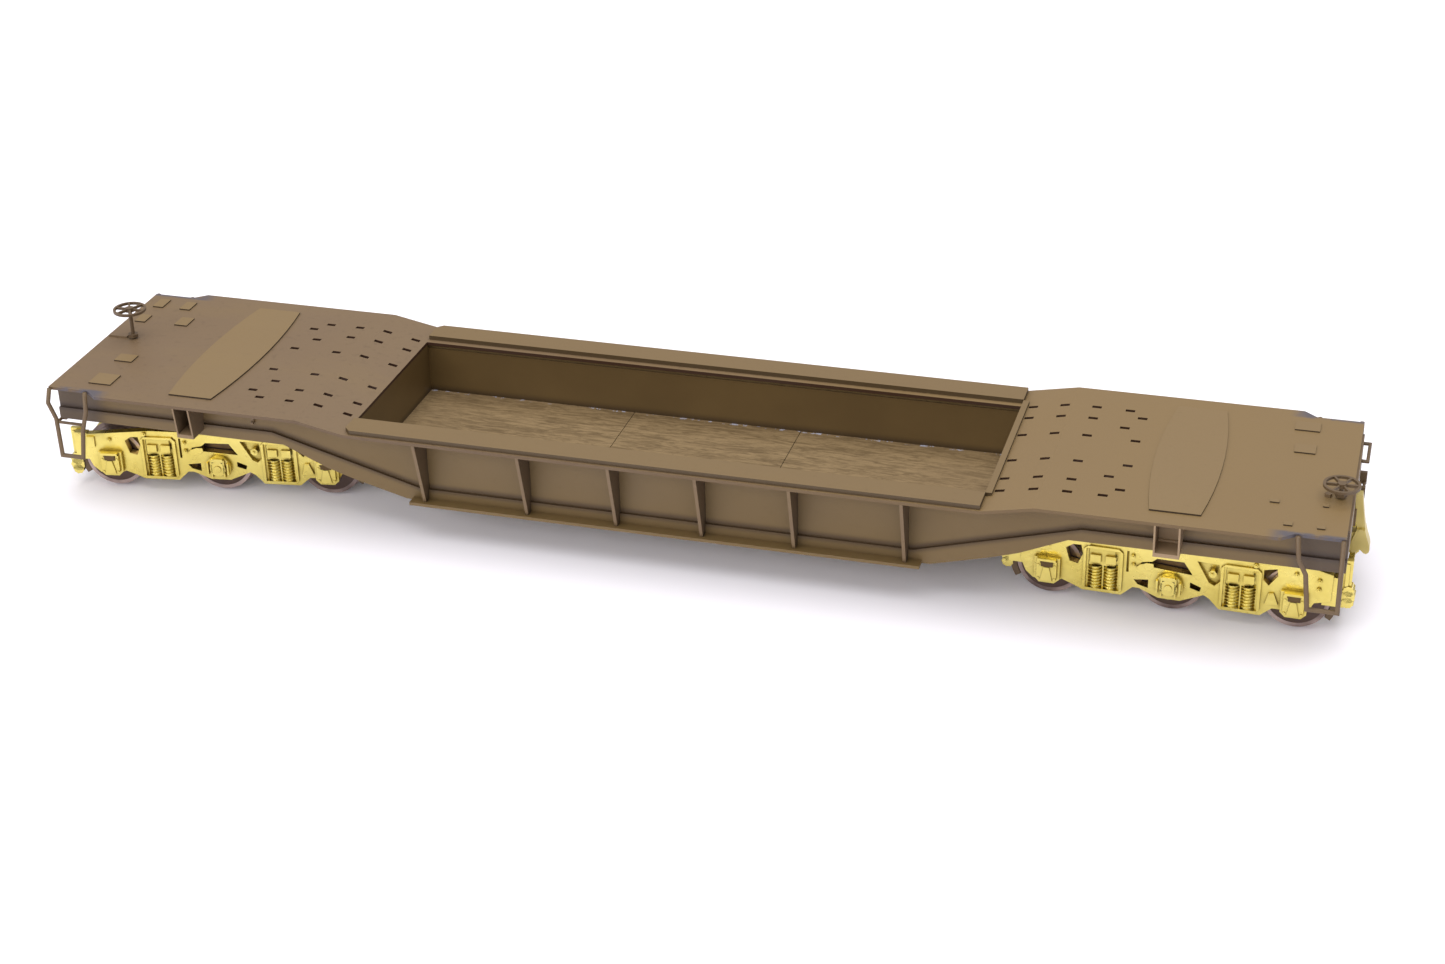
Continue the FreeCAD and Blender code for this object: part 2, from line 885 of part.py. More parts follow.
def hand_brake(x, y, rise):
    # A staff through the deck with a collar just above it and a spoked wheel on top.
    center = V(x, y, deck_top + rise)
    half_hub = V(0, 0, brake_hub_height / 2)
    collar_foot = V(x, y, deck_top + ratchet_height)
    pieces = [
        cylinder(staff_radius, V(x, y, deck_top - staff_drop), center),
        polygon_rod(staff_collar_radius, nut_sides, collar_foot, collar_foot + V(0, 0, staff_collar_height)),
        polygon_rod(brake_hub_radius, nut_sides, center - half_hub, center + half_hub),
        brake_rim(center),
    ]
    for number in range(brake_spokes):
        pieces.append(brake_spoke(center, number))
    return fuse_all(pieces)


def brake_ratchets():
    x = staff_x_a - ratchet_start
    strip = box(x - ratchet_length, x, staff_y_a - ratchet_width / 2, staff_y_a + ratchet_width / 2,
                deck_top, deck_top + ratchet_height)
    foot = V(staff_x_b - pawl_offset, staff_y_b, deck_top)
    pawl = polygon_rod(pawl_radius, nut_sides, foot, foot + V(0, 0, pawl_height))
    return group([strip, pawl])


# ---------------------------------------------------------------- side frames


def journal_barrel():
    # The middle box is a round barrel with a raised cap.
    z = axle_height - barrel_drop
    front = -journal_lid_y + journal_lid_inset
    barrel = cylinder(barrel_radius, V(0, -frame_outer_y, z), V(0, front, z))
    cap = cylinder(barrel_cap_radius, V(0, front, z), V(0, -journal_lid_y, z))
    return fuse_all([barrel, cap])


def bucket_outline(x, inset):
    w = journal_half_width - inset
    low = journal_bottom + inset
    high = journal_bottom + journal_height - inset
    chamfer = journal_chamfer
    return [(x - w, high), (x + w, high), (x + w, low + chamfer), (x + w - chamfer, low),
            (x - w + chamfer, low), (x - w, low + chamfer)]


def journal_bucket(x):
    # The outer boxes are buckets with a raised lid and a notch for the lid's hinge.
    front = -journal_lid_y + journal_lid_inset
    top = journal_bottom + journal_height
    body = prism_xz(bucket_outline(x, 0.0), front, -frame_outer_y)
    lid = prism_xz(bucket_outline(x, journal_lid_inset), -journal_lid_y, front)
    notch = box(x - journal_notch_half_width, x + journal_notch_half_width,
                -journal_lid_y - past, -journal_lid_y + journal_notch_depth,
                top - journal_notch_height, top + past)
    return fuse_all([body, lid]).cut(notch)


def nest_rim(x):
    # A raised frame with cut corners around one pair of springs.
    w = spring_window_half_width
    outer_w = w + nest_rim_width
    low = spring_window_bottom - nest_rim_width
    high = spring_window_top + nest_rim_width
    cut = nest_rim_corner
    outline = [(x - outer_w + cut, low), (x + outer_w - cut, low), (x + outer_w, low + cut),
               (x + outer_w, high - cut), (x + outer_w - cut, high), (x - outer_w + cut, high),
               (x - outer_w, high - cut), (x - outer_w, low + cut)]
    front = -frame_outer_y - relief_height
    outer = prism_xz(outline, front, -frame_outer_y)
    window = box(x - w, x + w, front - past, -frame_outer_y + past, spring_window_bottom, spring_window_top)
    return outer.cut(window)


def frame_points(corners):
    stations = (0, cross_arm_x, axle_spacing)
    return [(math.copysign(stations[abs(station)], station) + offset, z) for station, offset, z in corners]


def frame_cutters():
    front = -frame_outer_y - past
    back = -frame_inner_y + past
    depth = -frame_outer_y + recess_depth
    tools = [prism_xz(frame_points(window), front, back) for window in frame_windows]
    for x in spring_window_x:
        tools.append(box(x - spring_window_half_width, x + spring_window_half_width, front, back,
                         spring_window_bottom, spring_window_top))
    tools.append(prism_xz(frame_points(brake_arm_recess), front, depth))
    split_x = -cross_arm_x + split_offset
    half_split = split_width / 2
    tools.append(box(split_x - half_split, split_x + half_split, front, depth, split_bottom, split_top))
    return tools


def axle_bores():
    bores = []
    for i in (-1, 0, 1):
        x = i * axle_spacing
        bores.append(cylinder(axle_radius + axle_clearance, V(x, -frame_inner_y + past, axle_height),
                              V(x, -axle_half_length - axle_clearance, axle_height)))
    return bores


def frame_boss():
    x = cross_arm_x - frame_boss_offset
    bottom = V(x, -frame_outer_y + recess_depth, frame_boss_z)
    top = V(x, -frame_outer_y - relief_height, frame_boss_z)
    return polygon_rod(frame_boss_radius, wire_sides, bottom, top)


def side_frame():
    plate = prism_xz(frame_points(frame_outline), -frame_outer_y, -frame_inner_y)
    end_tab_x = -axle_spacing - end_tab_offset
    raised = [
        journal_bucket(-axle_spacing),
        journal_barrel(),
        journal_bucket(axle_spacing),
        prism_xz(frame_points(bracket_foot), -frame_outer_y - relief_height, -frame_outer_y),
        box(end_tab_x - end_tab_half_width, end_tab_x + end_tab_half_width,
            -frame_outer_y - relief_height, -frame_outer_y, end_tab_bottom, end_tab_top),
        frame_boss(),
    ]
    for x in spring_window_x:
        raised.append(nest_rim(x))
    return cut_all(fuse_all([cut_all(plate, frame_cutters())] + raised), axle_bores())


# ---------------------------------------------------------------- truck


def cross_arm(x):
    reach = frame_outer_y - cross_arm_inset
    return box(x - cross_arm_half_length, x + cross_arm_half_length, -reach, reach,
               cross_arm_bottom, cross_arm_top)


def bolster_end_lug(x):
    face = -frame_outer_y + cross_arm_inset
    return box(x - end_lug_half_width, x + end_lug_half_width, face - end_lug_depth, face,
               end_lug_z - end_lug_height / 2, end_lug_z + end_lug_height / 2)


def truck_bolster():
    reach = truck_bolster_half_length
    pieces = [box(-reach, reach, -truck_bolster_half_width, truck_bolster_half_width,
                  truck_bolster_bottom, truck_bolster_top)]
    for side, x in zip((-1, 1), spring_window_x):
        pieces.append(cross_arm(side * cross_arm_x))
        for step in (-end_lug_offset, end_lug_offset):
            lug = bolster_end_lug(x + step)
            pieces.extend([lug, turn_about(lug)])
    hole = cylinder(kingpin_radius + kingpin_clearance, V(0, 0, truck_bolster_bottom - past),
                    V(0, 0, truck_bolster_top + past))
    return fuse_all(pieces).cut(hole)


def truck_springs():
    coils = []
    for x in spring_window_x:
        for step in (-spring_offset, spring_offset):
            foot = V(x + step, -spring_axis_y, spring_window_bottom)
            head = V(x + step, -spring_axis_y, cross_arm_bottom)
            coil = polygon_rod(spring_radius, wire_sides, foot, head)
            coils.extend([coil, turn_about(coil)])
    return group(coils)


def wheelset(x):
    # Two flanged wheels pressed on one plain axle, turned from a single profile.
    near = [
        (0, -axle_half_length),
        (axle_radius, -axle_half_length),
        (axle_radius, -wheel_face_y),
        (wheel_tread_radius, -wheel_face_y),
        (wheel_tread_radius, -wheel_back_y - wheel_flange_width),
        (wheel_tread_radius + wheel_flange_depth, -wheel_back_y),
        (axle_radius, -wheel_back_y),
    ]
    profile = near + [(r, -y) for r, y in reversed(near)]
    points = [V(x, y, axle_height + r) for r, y in profile]
    face = Part.Face(Part.makePolygon(points + [points[0]]))
    return face.revolve(V(x, 0, axle_height), V(0, 1, 0), 360)


def brake_shoe():
    # A curved block just clear of the end wheel's tread.
    inner = wheel_tread_radius + shoe_gap
    outer = inner + shoe_thickness
    low = math.radians(shoe_low_angle)
    high = math.radians(shoe_high_angle)
    middle = (low + high) / 2

    def at(radius, angle):
        x = axle_spacing + radius * math.cos(angle)
        return V(x, -hanger_outer_y, axle_height + radius * math.sin(angle))

    edges = [
        Part.Arc(at(inner, low), at(inner, middle), at(inner, high)).toShape(),
        Part.makeLine(at(inner, high), at(outer, high)),
        Part.Arc(at(outer, high), at(outer, middle), at(outer, low)).toShape(),
        Part.makeLine(at(outer, low), at(inner, low)),
    ]
    return Part.Face(Part.Wire(edges)).extrude(V(0, shoe_width, 0))


def brake_hanger():
    # The upright strap behind the shoe, its thick lower head, and the lug that joins it to the side frame.
    outer_x = hanger_x + hanger_length
    inner_y = -hanger_outer_y + hanger_width
    strap = box(hanger_x, outer_x, -hanger_outer_y, inner_y, hanger_bottom, hanger_top)
    head = box(hanger_x, hanger_x + hanger_head_length, -hanger_outer_y, -hanger_outer_y + hanger_head_width,
               hanger_head_bottom, hanger_head_bottom + hanger_head_height)
    lug = box(hanger_x - hanger_lug_length, hanger_x, -frame_inner_y, inner_y,
              hanger_lug_top - hanger_lug_height, hanger_lug_top)
    return [strap, head, lug]


def brake_set():
    near = [brake_shoe()] + brake_hanger()
    beam = box(hanger_x, hanger_x + beam_width, -hanger_outer_y, hanger_outer_y,
               beam_height - beam_width / 2, beam_height + beam_width / 2)
    return fuse_all([beam] + near + [mirror_y(piece) for piece in near])


def brake_rigging():
    one = brake_set()
    return group([one, mirror_x(one)])


def build_truck(tag, pin_x, swivel):
    def put(name, shape):
        placed = shape.copy()
        placed.rotate(V(0, 0, 0), V(0, 0, 1), swivel)
        placed.translate(V(pin_x, 0, 0))
        save(name, placed)

    frame = side_frame()
    put("side_frame_near_" + tag, frame)
    put("side_frame_far_" + tag, turn_about(frame))
    put("truck_bolster_" + tag, truck_bolster())
    put("truck_springs_" + tag, truck_springs())
    put("brake_rigging_" + tag, brake_rigging())
    for number, i in enumerate((-1, 0, 1), start=1):
        put("wheelset_%s%d" % (tag, number), wheelset(i * axle_spacing))


def build_deck():
    save("deck_end_a", mirror_x(deck_end(staff_x_a, staff_y_a)))
    save("deck_end_b", deck_end(staff_x_b, staff_y_b))
    save("deck_strip_near", deck_strip())
    save("deck_strip_far", mirror_y(deck_strip()))
    save("cover_plates", group([cover_plate(), mirror_y(cover_plate())]))
    save("overlay_plates", group([overlay_plate(), mirror_x(overlay_plate())]))
    save("deck_patches", deck_patches())


def build_girders():
    save("girder_web_near", girder_web())
    save("girder_web_far", mirror_y(girder_web()))
    save("girder_angle_near", girder_angle())
    save("girder_angle_far", mirror_y(girder_angle()))
    save("ribs_near", ribs())
    save("ribs_far", mirror_y(ribs()))
    save("bolster_gussets", bolster_gussets())


def build_well():
    save("well_end_walls", well_end_walls())
    save("well_end_bar", well_end_bar())
    save("well_floor", well_floor())
    save("well_linings", well_linings())
    save("cross_bearers", cross_bearers())


def build_underframe():
    save("center_sills", at_both_ends(center_sill))
    save("draft_sills", at_both_ends(draft_sill))
    save("body_bolsters", at_both_ends(body_bolster))
    save("kingpins", at_both_ends(kingpin))
    save("end_sills", group([end_sill(), mirror_x(end_sill())]))
    save("coupler_boxes", group([coupler_box(), mirror_x(coupler_box())]))


def build_end_fittings():
    save("step_irons", step_irons())
    save("uncoupling_lever_a", turn_about(mirror_y(uncoupling_lever())))
    save("uncoupling_lever_b", mirror_y(uncoupling_lever()))
    save("end_grab_iron", end_grab_iron())
    save("brake_ratchets", brake_ratchets())
    save("coupler_a", turn_about(coupler()))
    save("coupler_b", coupler())
    save("hand_brake_a", hand_brake(staff_x_a, staff_y_a, brake_wheel_rise_a))
    save("hand_brake_b", hand_brake(staff_x_b, staff_y_b, brake_wheel_rise_b))


os.makedirs("parts", exist_ok=True)
build_deck()
build_girders()
build_well()
build_underframe()
build_end_fittings()
build_truck("a", kingpin_x_a, rest_swivel_a)
build_truck("b", kingpin_x_b, rest_swivel_b)
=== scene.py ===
import math

import bpy
from mathutils import Matrix, Vector


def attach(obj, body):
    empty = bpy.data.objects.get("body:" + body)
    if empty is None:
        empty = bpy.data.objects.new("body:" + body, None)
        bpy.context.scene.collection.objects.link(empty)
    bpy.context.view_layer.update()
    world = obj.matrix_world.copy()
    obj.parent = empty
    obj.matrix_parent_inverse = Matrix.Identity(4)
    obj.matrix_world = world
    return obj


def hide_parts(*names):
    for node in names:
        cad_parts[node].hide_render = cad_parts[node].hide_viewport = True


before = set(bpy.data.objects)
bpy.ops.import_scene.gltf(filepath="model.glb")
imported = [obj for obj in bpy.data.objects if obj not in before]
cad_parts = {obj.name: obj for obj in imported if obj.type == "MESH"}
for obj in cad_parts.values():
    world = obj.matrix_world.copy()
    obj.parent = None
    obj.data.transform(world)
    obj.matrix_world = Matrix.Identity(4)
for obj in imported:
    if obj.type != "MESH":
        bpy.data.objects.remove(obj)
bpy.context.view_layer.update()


MM = 0.001


# ---------------------------------------------------------------- node helpers


class Nodes:
    """A small helper for building a material's nodes."""

    def __init__(self, name):
        self.mat = bpy.data.materials.new(name)
        self.mat.use_nodes = True
        self.tree = self.mat.node_tree
        self.bsdf = self.tree.nodes["Principled BSDF"]
        self.out = self.tree.nodes["Material Output"]
        self.coord = None

    def new(self, kind, **values):
        node = self.tree.nodes.new(kind)
        for key, value in values.items():
            setattr(node, key, value)
        return node

    def put(self, value, socket):
        # A number or a colour is set, and another node's output is linked.
        if isinstance(value, (int, float, tuple, list)):
            socket.default_value = value
        else:
            self.tree.links.new(value, socket)

    def fill(self, node, values):
        for key, value in values.items():
            self.put(value, node.inputs[key])

    def math(self, operation, a, b=0.0):
        node = self.new("ShaderNodeMath", operation=operation)
        self.put(a, node.inputs[0])
        self.put(b, node.inputs[1])
        return node.outputs[0]

    def times(self, a, b):
        return self.math("MULTIPLY", a, b)

    def unsigned(self, a):
        return self.math("ABSOLUTE", a)

    def place(self):
        if self.coord is None:
            self.coord = self.new("ShaderNodeTexCoord").outputs["Object"]
        return self.coord

    def split(self, vector):
        node = self.new("ShaderNodeSeparateXYZ")
        self.put(vector, node.inputs[0])
        return node.outputs

    def xyz(self):
        return self.split(self.place())

    def normal(self):
        return self.split(self.new("ShaderNodeNewGeometry").outputs["True Normal"])

    def stretch(self, scale):
        node = self.new("ShaderNodeMapping")
        self.fill(node, {"Vector": self.place(), "Scale": scale})
        return node.outputs[0]

    def noise(self, scale, detail=3.0, rough=0.55, stretch=(1, 1, 1), distort=0.0):
        node = self.new("ShaderNodeTexNoise")
        self.fill(node, {"Vector": self.stretch(stretch), "Scale": scale, "Detail": detail,
                         "Roughness": rough, "Distortion": distort})
        return node.outputs["Fac"]

    def ramp(self, value, low, high, out_low=0.0, out_high=1.0, smooth=True):
        node = self.new("ShaderNodeMapRange", interpolation_type="SMOOTHSTEP" if smooth else "LINEAR")
        self.fill(node, {"Value": value, "From Min": low, "From Max": high,
                         "To Min": out_low, "To Max": out_high})
        return node.outputs["Result"]

    def mix(self, factor, a, b):
        node = self.new("ShaderNodeMix", data_type="RGBA")
        for index, value in ((0, factor), (6, a), (7, b)):
            self.put(value, node.inputs[index])
        return node.outputs[2]

    def bump(self, height, strength, distance):
        node = self.new("ShaderNodeBump")
        self.fill(node, {"Height": height, "Strength": strength, "Distance": distance})
        self.tree.links.new(node.outputs[0], self.bsdf.inputs["Normal"])

    def surface(self, color, rough, metal=0.0, specular=0.5):
        self.fill(self.bsdf, {"Base Color": color, "Roughness": rough, "Metallic": metal,
                              "Specular IOR Level": specular})


# ---------------------------------------------------------------- colours


def linear(red, green, blue):
    # A screen colour, given in steps of 255, as the linear colour that the nodes take.
    def one(step):
        value = step / 255.0
        return value / 12.92 if value <= 0.04045 else ((value + 0.055) / 1.055) ** 2.4
    return (one(red), one(green), one(blue), 1.0)


PAINT = linear(114, 93, 66)
PAINT_LIGHT = linear(120, 98, 62)
PAINT_RED = linear(111, 90, 65)
PLATE_OLIVE = linear(129, 106, 65)
DECK_WARM = linear(122, 99, 62)
COVER_OLIVE = linear(114, 92, 51)
GIRDER_OLIVE = linear(108, 87, 47)
POCKET_PAINTED_LIGHT = linear(176, 150, 118)
GUSSET_PAINTED_LIGHT = linear(168, 142, 110)
WASH_AND_SHADE = linear(50, 36, 20)
DEEP_SHADE = linear(44, 34, 28)
CREASE_DARK = linear(60, 43, 27)
SLOT_AND_RIM_SHADE = linear(54, 30, 18)
SCUFF_AND_HIGHLIGHT = linear(80, 77, 85)
END_GREY = linear(68, 58, 55)
WALL_DARK = linear(87, 68, 38)
WALL_LIGHT = linear(102, 81, 47)
BOARD_DARK = linear(95, 76, 47)
BOARD_LIGHT = linear(134, 112, 78)
BOARD_GRAIN = linear(72, 54, 31)
BOARD_BLOTCH = linear(122, 100, 69)
BOARD_SPECK = linear(176, 178, 196)
BRASS_PALE = (0.81, 0.68, 0.20, 1)
BRASS_DEEP = (0.71, 0.575, 0.14, 1)
BRASS_HOLLOW_SHADE = linear(112, 86, 18)
COUPLER_DEEP = (0.54, 0.44, 0.16, 1)
COUPLER_PALE = (0.67, 0.56, 0.22, 1)
SHADE_BRASS_DARK = linear(74, 54, 22)
SHADE_BRASS_LIGHT = linear(96, 72, 28)
TREAD_LIGHT = linear(196, 174, 168)
TREAD_DARK = linear(150, 130, 124)
WHEEL_FACE = linear(88, 72, 66)
RIM_LIGHT = linear(192, 172, 166)
RIM_DARK = linear(112, 95, 90)
STEEL_DARK = linear(52, 46, 40)
STEEL_LIGHT = linear(70, 62, 52)

# Where a look begins and where it is full, in metres from the middle of the car and above the floor.
TIP_X = (0.0870, 0.0900)
TIP_RIM_Y = (0.0170, 0.0177)
WARM_X = (-0.04, 0.075)
SLOT_FIELD_Y = (0.0142, 0.0146)
BELLY_RISE_X = (0.038, 0.062)
BELLY_CREASE_Z = (0.0084, 0.0150)
CREASE_LIFT = 0.00015
CREASE_FADE = (0.0001, 0.0010)
POCKET_X = 0.0742
POCKET_EDGE = (0.0015, 0.0016)
END_GREY_X = (0.0895, 0.0925)
MIDDLE_X = (-0.01, 0.01)
WALL_FOOT_Z = (0.0097, 0.0110)
FLOOR_RIM_Y = (0.0136, 0.0139)

# How far the painted shade in hollows reaches, in metres.
GIRDER_HOLLOW_REACH = 0.0018
RIB_HOLLOW_REACH = 0.002
BRASS_HOLLOW_REACH = 0.0014

# How open a spot is where that painted shade is full, and where it ends.
OPENNESS = (0.3, 0.95)


# ---------------------------------------------------------------- materials


def paint_color(n):
    # Brown paint with cloudy patches, streaks along the car and a fine dark grain.
    cloud = n.noise(28.0, detail=4.0, rough=0.6)
    grain = n.noise(900.0, detail=2.0, rough=0.6)
    streak = n.noise(60.0, detail=4.0, rough=0.6, stretch=(0.35, 1.0, 1.0))
    color = n.mix(n.ramp(cloud, 0.35, 0.68), PAINT, PAINT_RED)
    color = n.mix(n.times(n.ramp(streak, 0.5, 0.75), 0.5), color, PAINT_LIGHT)
    return n.mix(n.times(n.ramp(grain, 0.55, 0.8), 0.18), color, WASH_AND_SHADE)


def scuff_and_highlight(n, color):
    # Bare grey metal and a painted highlight show at the rims of both deck tips.
    axes = n.xyz()
    tip = n.ramp(n.unsigned(axes[0]), *TIP_X)
    rim = n.ramp(n.unsigned(axes[1]), *TIP_RIM_Y)
    worn = n.ramp(n.noise(260.0, detail=4.0, rough=0.65), 0.32, 0.52)
    mask = n.times(n.times(tip, rim), worn)
    return n.mix(n.times(mask, 0.9), color, SCUFF_AND_HIGHLIGHT)


def hollow(n, reach, amount):
    # Painted shade: the given amount in corners and recesses, falling to 0 on open faces.
    node = n.new("ShaderNodeAmbientOcclusion", samples=8)
    n.fill(node, {"Distance": reach})
    return n.ramp(node.outputs["AO"], *OPENNESS, amount, 0.0)


def steep(n):
    # 1 on upright faces and 0 on level ones.
    return n.ramp(n.unsigned(n.normal()[2]), 0.3, 0.8, 1.0, 0.0)


def end_b_side(n):
    # 1 on faces turned to end B.
    return n.ramp(n.normal()[0], 0.5, 0.9)


def paint_finish(n, color):
    # A slightly uneven satin skin.
    rough = n.ramp(n.noise(45.0), 0.3, 0.7, 0.42, 0.58)
    n.surface(color, rough, specular=0.45)
    n.bump(n.noise(2600.0, detail=2.0, rough=0.5), 0.12, 0.00003)
    return n.mat


def make_deck_paint():
    # Painted shade darkens the slots' walls to dark red brown, and the sheet's upright rims a little
    # less.
    n = Nodes("deck_paint")
    axes = n.xyz()
    color = n.mix(n.ramp(axes[0], *WARM_X), paint_color(n), DECK_WARM)
    amount = n.ramp(n.unsigned(axes[1]), *SLOT_FIELD_Y, 0.95, 0.35)
    color = n.mix(n.times(steep(n), amount), color, SLOT_AND_RIM_SHADE)
    return paint_finish(n, scuff_and_highlight(n, color))


def make_plate_paint():
    n = Nodes("plate_paint")
    color = n.mix(0.6, paint_color(n), PLATE_OLIVE)
    # Painted shade darkens the plates' upright edges.
    return paint_finish(n, n.mix(n.times(steep(n), 0.9), color, DEEP_SHADE))


def make_cover_paint():
    n = Nodes("cover_paint")
    color = n.mix(0.6, paint_color(n), COVER_OLIVE)
    # Painted shade darkens the cover plates' upright edges.
    return paint_finish(n, n.mix(n.times(steep(n), 0.7), color, WASH_AND_SHADE))


def make_girder_paint():
    # A dark line runs along the crease at the top of the bottom angle, and painted shade darkens the
    # recesses. The web between end B's gussets is made pale with painted light, and both ends are grey.
    n = Nodes("girder_paint")
    color = n.mix(0.7, paint_color(n), GIRDER_OLIVE)
    axes = n.xyz()
    reach = n.unsigned(axes[0])
    line = n.ramp(reach, *BELLY_RISE_X, *BELLY_CREASE_Z, smooth=False)
    above = n.math("SUBTRACT", axes[2], line)
    distance = n.unsigned(n.math("SUBTRACT", above, CREASE_LIFT))
    color = n.mix(n.ramp(distance, *CREASE_FADE, 0.7, 0.0), color, CREASE_DARK)
    # Painted shade in the recesses.
    color = n.mix(hollow(n, GIRDER_HOLLOW_REACH, 0.15), color, WASH_AND_SHADE)
    # Painted light on the web between end B's gussets.
    pocket = n.unsigned(n.math("SUBTRACT", axes[0], POCKET_X))
    color = n.mix(n.ramp(pocket, *POCKET_EDGE, 0.8, 0.0), color, POCKET_PAINTED_LIGHT)
    color = n.mix(n.ramp(reach, *END_GREY_X, 0.0, 0.65), color, END_GREY)
    return paint_finish(n, color)


def make_plain_paint(name, dark):
    n = Nodes(name)
    return paint_finish(n, n.mix(dark, paint_color(n), WASH_AND_SHADE))


def make_rib_paint():
    # Painted shade darkens the faces turned to end B, and the recesses.
    n = Nodes("rib_paint")
    color = n.mix(hollow(n, RIB_HOLLOW_REACH, 0.6), paint_color(n), WASH_AND_SHADE)
    return paint_finish(n, n.mix(n.times(end_b_side(n), 0.45), color, DEEP_SHADE))


def make_gusset_paint():
    # Paler towards end B with painted light, and painted shade on the faces turned to end B, deeper by
    # end A.
    n = Nodes("gusset_paint")
    x = n.xyz()[0]
    color = n.mix(n.ramp(x, *MIDDLE_X, 0.25, 0.6), paint_color(n), GUSSET_PAINTED_LIGHT)
    amount = n.ramp(x, *MIDDLE_X, 0.5, 0.3)
    return paint_finish(n, n.mix(n.times(end_b_side(n), amount), color, DEEP_SHADE))


def make_wall_paint():
    # Darker along the foot of the well's walls.
    n = Nodes("well_wall_paint")
    color = n.mix(n.ramp(n.noise(30.0, detail=4.0), 0.3, 0.7), WALL_DARK, WALL_LIGHT)
    n.surface(n.mix(n.ramp(n.xyz()[2], *WALL_FOOT_Z, 0.75, 0.0), color, WASH_AND_SHADE), 0.4)
    return n.mat


def make_floor_boards():
    # Stained wood with a long grain, and a few pale specks along the well's sides.
    n = Nodes("floor_boards")
    long_grain = n.noise(1300.0, detail=6.0, rough=0.72, stretch=(0.14, 1.0, 1.0), distort=0.9)
    fine = n.noise(3600.0, detail=3.0, rough=0.6, stretch=(0.2, 1.0, 1.0), distort=0.4)
    blotch = n.noise(22.0)
    color = n.mix(n.ramp(long_grain, 0.34, 0.6), BOARD_DARK, BOARD_LIGHT)
    color = n.mix(n.times(n.ramp(fine, 0.5, 0.66), 0.4), color, BOARD_GRAIN)
    color = n.mix(n.ramp(blotch, 0.35, 0.7, 0.0, 0.4), color, BOARD_BLOTCH)
    rim = n.ramp(n.unsigned(n.xyz()[1]), *FLOOR_RIM_Y)
    specks = n.times(rim, n.ramp(n.noise(900.0, detail=3.0, rough=0.7), 0.56, 0.62))
    color = n.mix(n.times(specks, 0.8), color, BOARD_SPECK)
    n.surface(color, 0.62, specular=0.35)
    n.bump(n.math("ADD", long_grain, n.times(fine, 0.5)), 0.45, 0.0001)
    return n.mat


def make_brass(name, recess):
    # Cast brass: a lumpy skin, paler where it is open, and olive with painted shade where it is hollow.
    n = Nodes(name)
    color = n.mix(n.ramp(n.noise(110.0, detail=4.0, rough=0.6), 0.35, 0.7), BRASS_PALE, BRASS_DEEP)
    color = n.mix(hollow(n, BRASS_HOLLOW_REACH, recess), color, BRASS_HOLLOW_SHADE)
    n.surface(color, n.ramp(n.noise(300.0), 0.3, 0.7, 0.24, 0.38), metal=1.0)
    n.bump(n.noise(800.0, detail=4.0, rough=0.6), 0.75, 0.00012)
    return n.mat


def make_shade_brass():
    n = Nodes("painted_shade_brass")
    # Dark olive for the plates of painted shade under the journal flanges.
    n.surface(n.mix(n.noise(300.0), SHADE_BRASS_DARK, SHADE_BRASS_LIGHT), 0.55, metal=0.2)
    return n.mat


def make_coupler_brass():
    n = Nodes("coupler_brass")
    n.surface(n.mix(n.ramp(n.noise(150.0), 0.35, 0.7), COUPLER_DEEP, COUPLER_PALE), 0.42, metal=0.85)
    return n.mat


def make_wheel_metal():
    # The turned treads are bright, and the wheels' faces are dark.
    n = Nodes("wheel_metal")
    face = n.ramp(n.unsigned(n.normal()[1]), 0.6, 0.9)
    tread = n.mix(n.ramp(n.noise(120.0), 0.35, 0.7), TREAD_LIGHT, TREAD_DARK)
    rough = n.ramp(n.noise(400.0), 0.3, 0.7, 0.28, 0.45)
    n.surface(n.mix(face, tread, WHEEL_FACE), rough, metal=0.75)
    return n.mat


def make_rim_metal():
    n = Nodes("rim_metal")
    n.surface(n.mix(n.ramp(n.noise(160.0), 0.35, 0.7), RIM_LIGHT, RIM_DARK), 0.3, metal=0.9)
    return n.mat


def make_dark_steel():
    n = Nodes("dark_steel")
    n.surface(n.mix(n.noise(200.0), STEEL_DARK, STEEL_LIGHT), 0.5, metal=0.3)
    return n.mat


deck_paint = make_deck_paint()
girder_paint = make_girder_paint()
cover_paint = make_cover_paint()
plate_paint = make_plate_paint()
rib_paint = make_rib_paint()
gusset_paint = make_gusset_paint()
plain_paint = make_plain_paint("underframe_paint", 0.0)
dark_paint = make_plain_paint("dark_wire_paint", 0.4)
step_paint = make_plain_paint("step_paint", 0.2)
wall_paint = make_wall_paint()
floor_boards = make_floor_boards()
brass = make_brass("truck_brass", 0.8)
nest_brass = make_brass("nest_brass", 0.2)
coupler_brass = make_coupler_brass()
shade_brass = make_shade_brass()
wheel_metal = make_wheel_metal()
rim_metal = make_rim_metal()
dark_steel = make_dark_steel()

# The first of these that a node's name starts with gives its material; other nodes get plain_paint.
BY_START = (
    ("deck_patches", plate_paint),
    ("deck_", deck_paint),
    ("cover_", cover_paint),
    ("overlay_", plate_paint),
    ("ribs_", rib_paint),
    ("girder_", girder_paint),
    ("well_floor", floor_boards),
    ("well_end_walls", wall_paint),
    ("well_linings", wall_paint),
    ("well_end_bar", cover_paint),
    ("side_frame", brass),
    ("truck_", brass),
    ("brake_rigging", brass),
    ("hand_brake", dark_paint),
    ("wheelset_", wheel_metal),
    ("coupler_", coupler_brass),
    ("kingpins", dark_steel),
    ("step_irons", dark_paint),
    ("uncoupling_lever", step_paint),
    ("end_grab_iron", dark_paint),
)


def dress(obj, material):
    obj.data.materials.clear()
    obj.data.materials.append(material)
    for polygon in obj.data.polygons:
        polygon.material_index = 0


for node_name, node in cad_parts.items():
    chosen = plain_paint
    for start, material in BY_START:
        if node_name.startswith(start):
            chosen = material
            break
    dress(node, chosen)


# ---------------------------------------------------------------- shapes


